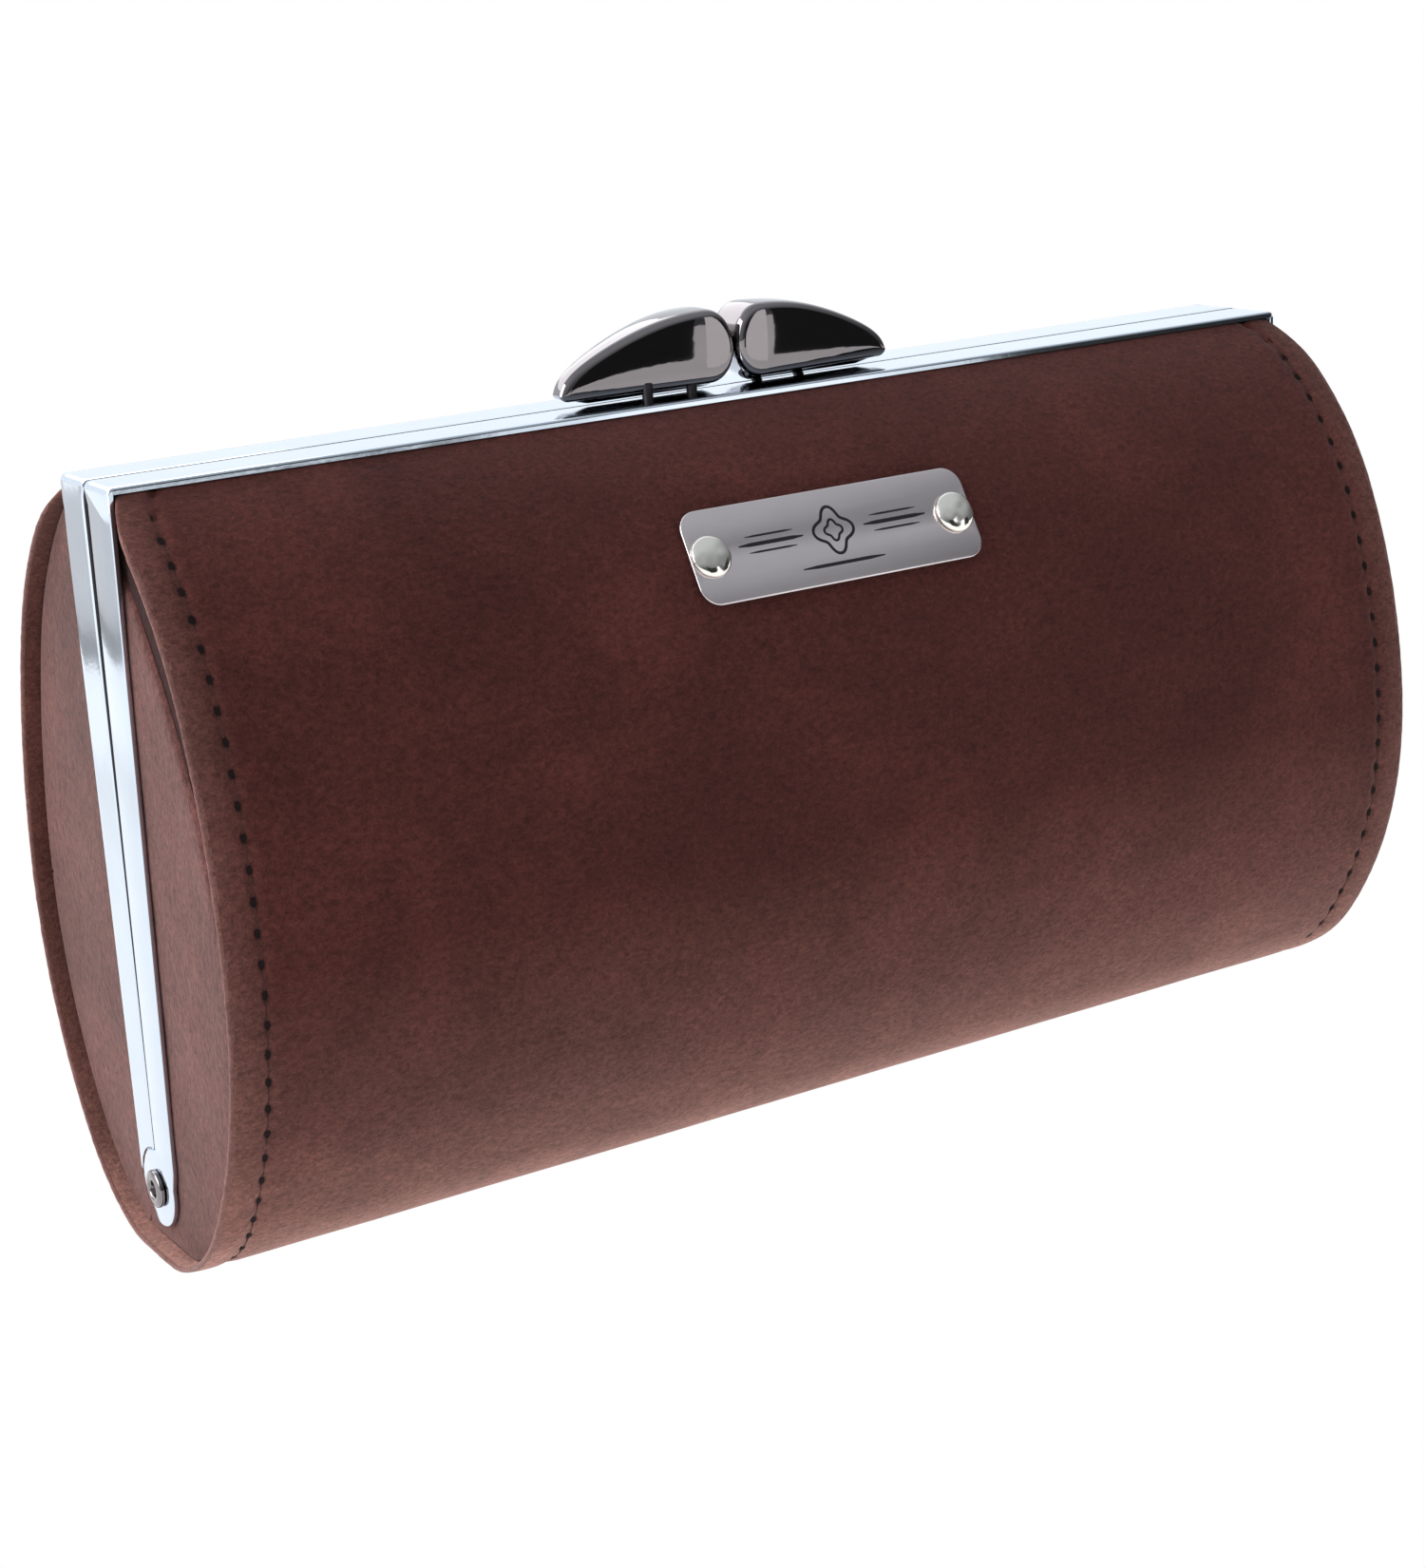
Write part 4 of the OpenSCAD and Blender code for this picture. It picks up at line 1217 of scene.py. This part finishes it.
floor()
for name, turn, width, away, foot, high, shade, glow in (
        ("near_dark_card", 10, 0.18, 0.45, 0.034, 0.20, 0.02, 0.0),
        ("pale_strip", 31, 0.085, 0.46, 0.002, 0.24, 0.6, 0.55),
        ("far_dark_card", 52, 0.19, 0.45, 0.018, 0.22, 0.02, 0.0),
        ("rear_rail", 211, 0.34, 0.42, 0.002, 0.045, 0.6, 0.42),
        ("rear_rail_foot", 211, 0.34, 0.415, 0.002, 0.008, 0.4, 0.16)):
    a = math.radians(turn)
    card(name, (away * math.sin(a), -away * math.cos(a), foot), turn, (width, high), shade, glow)
lamp("left_softbox", (-1.5, 0.25, 0.75), (-0.1, 0, 0.06), (1.4, 1.2), 26)
lamp("rear_softbox", (-0.2, 1.7, 1.3), (0, 0, 0.08), (2.2, 1.2), 14)


def sky(tree):
    """Studio walls: pale behind the case and overhead, dim on the camera's side, and plain
    white paper where the camera looks past the case."""
    axes = new_node(tree, "SeparateXYZ", Vector=new_node(tree, "TexCoord").outputs["Generated"])
    total = 0.13
    for axis, low, high, gain in (("Y", 0.10, 0.82, 1.08), ("Z", 0.12, 0.95, 0.50),
                                  ("X", -0.2, -1.0, 0.35)):
        rise = map_range(tree, axes.outputs[axis], low, high, 0.0, gain)
        rise.node.interpolation_type = "SMOOTHSTEP"
        add = tree.nodes.new("ShaderNodeMath")
        put(tree, add.inputs[0], rise)
        put(tree, add.inputs[1], total)
        total = add.outputs["Value"]
    walls = fill(tree, tree.nodes["Background"], Color=(0.90, 0.95, 1.0, 1), Strength=total)
    paper = new_node(tree, "Background", Color=(1, 1, 1, 1))
    rays = new_node(tree, "LightPath")
    mix = new_node(tree, "MixShader", Fac=rays.outputs["Is Camera Ray"])
    put(tree, mix.inputs[1], walls.outputs["Background"])
    put(tree, mix.inputs[2], paper.outputs["Background"])
    fill(tree, tree.nodes["World Output"], Surface=mix.outputs["Shader"])


world = bpy.data.worlds.new("studio")
bpy.context.scene.world = world
world.use_nodes = True
sky(world.node_tree)
bpy.context.scene.view_settings.view_transform = "Standard"
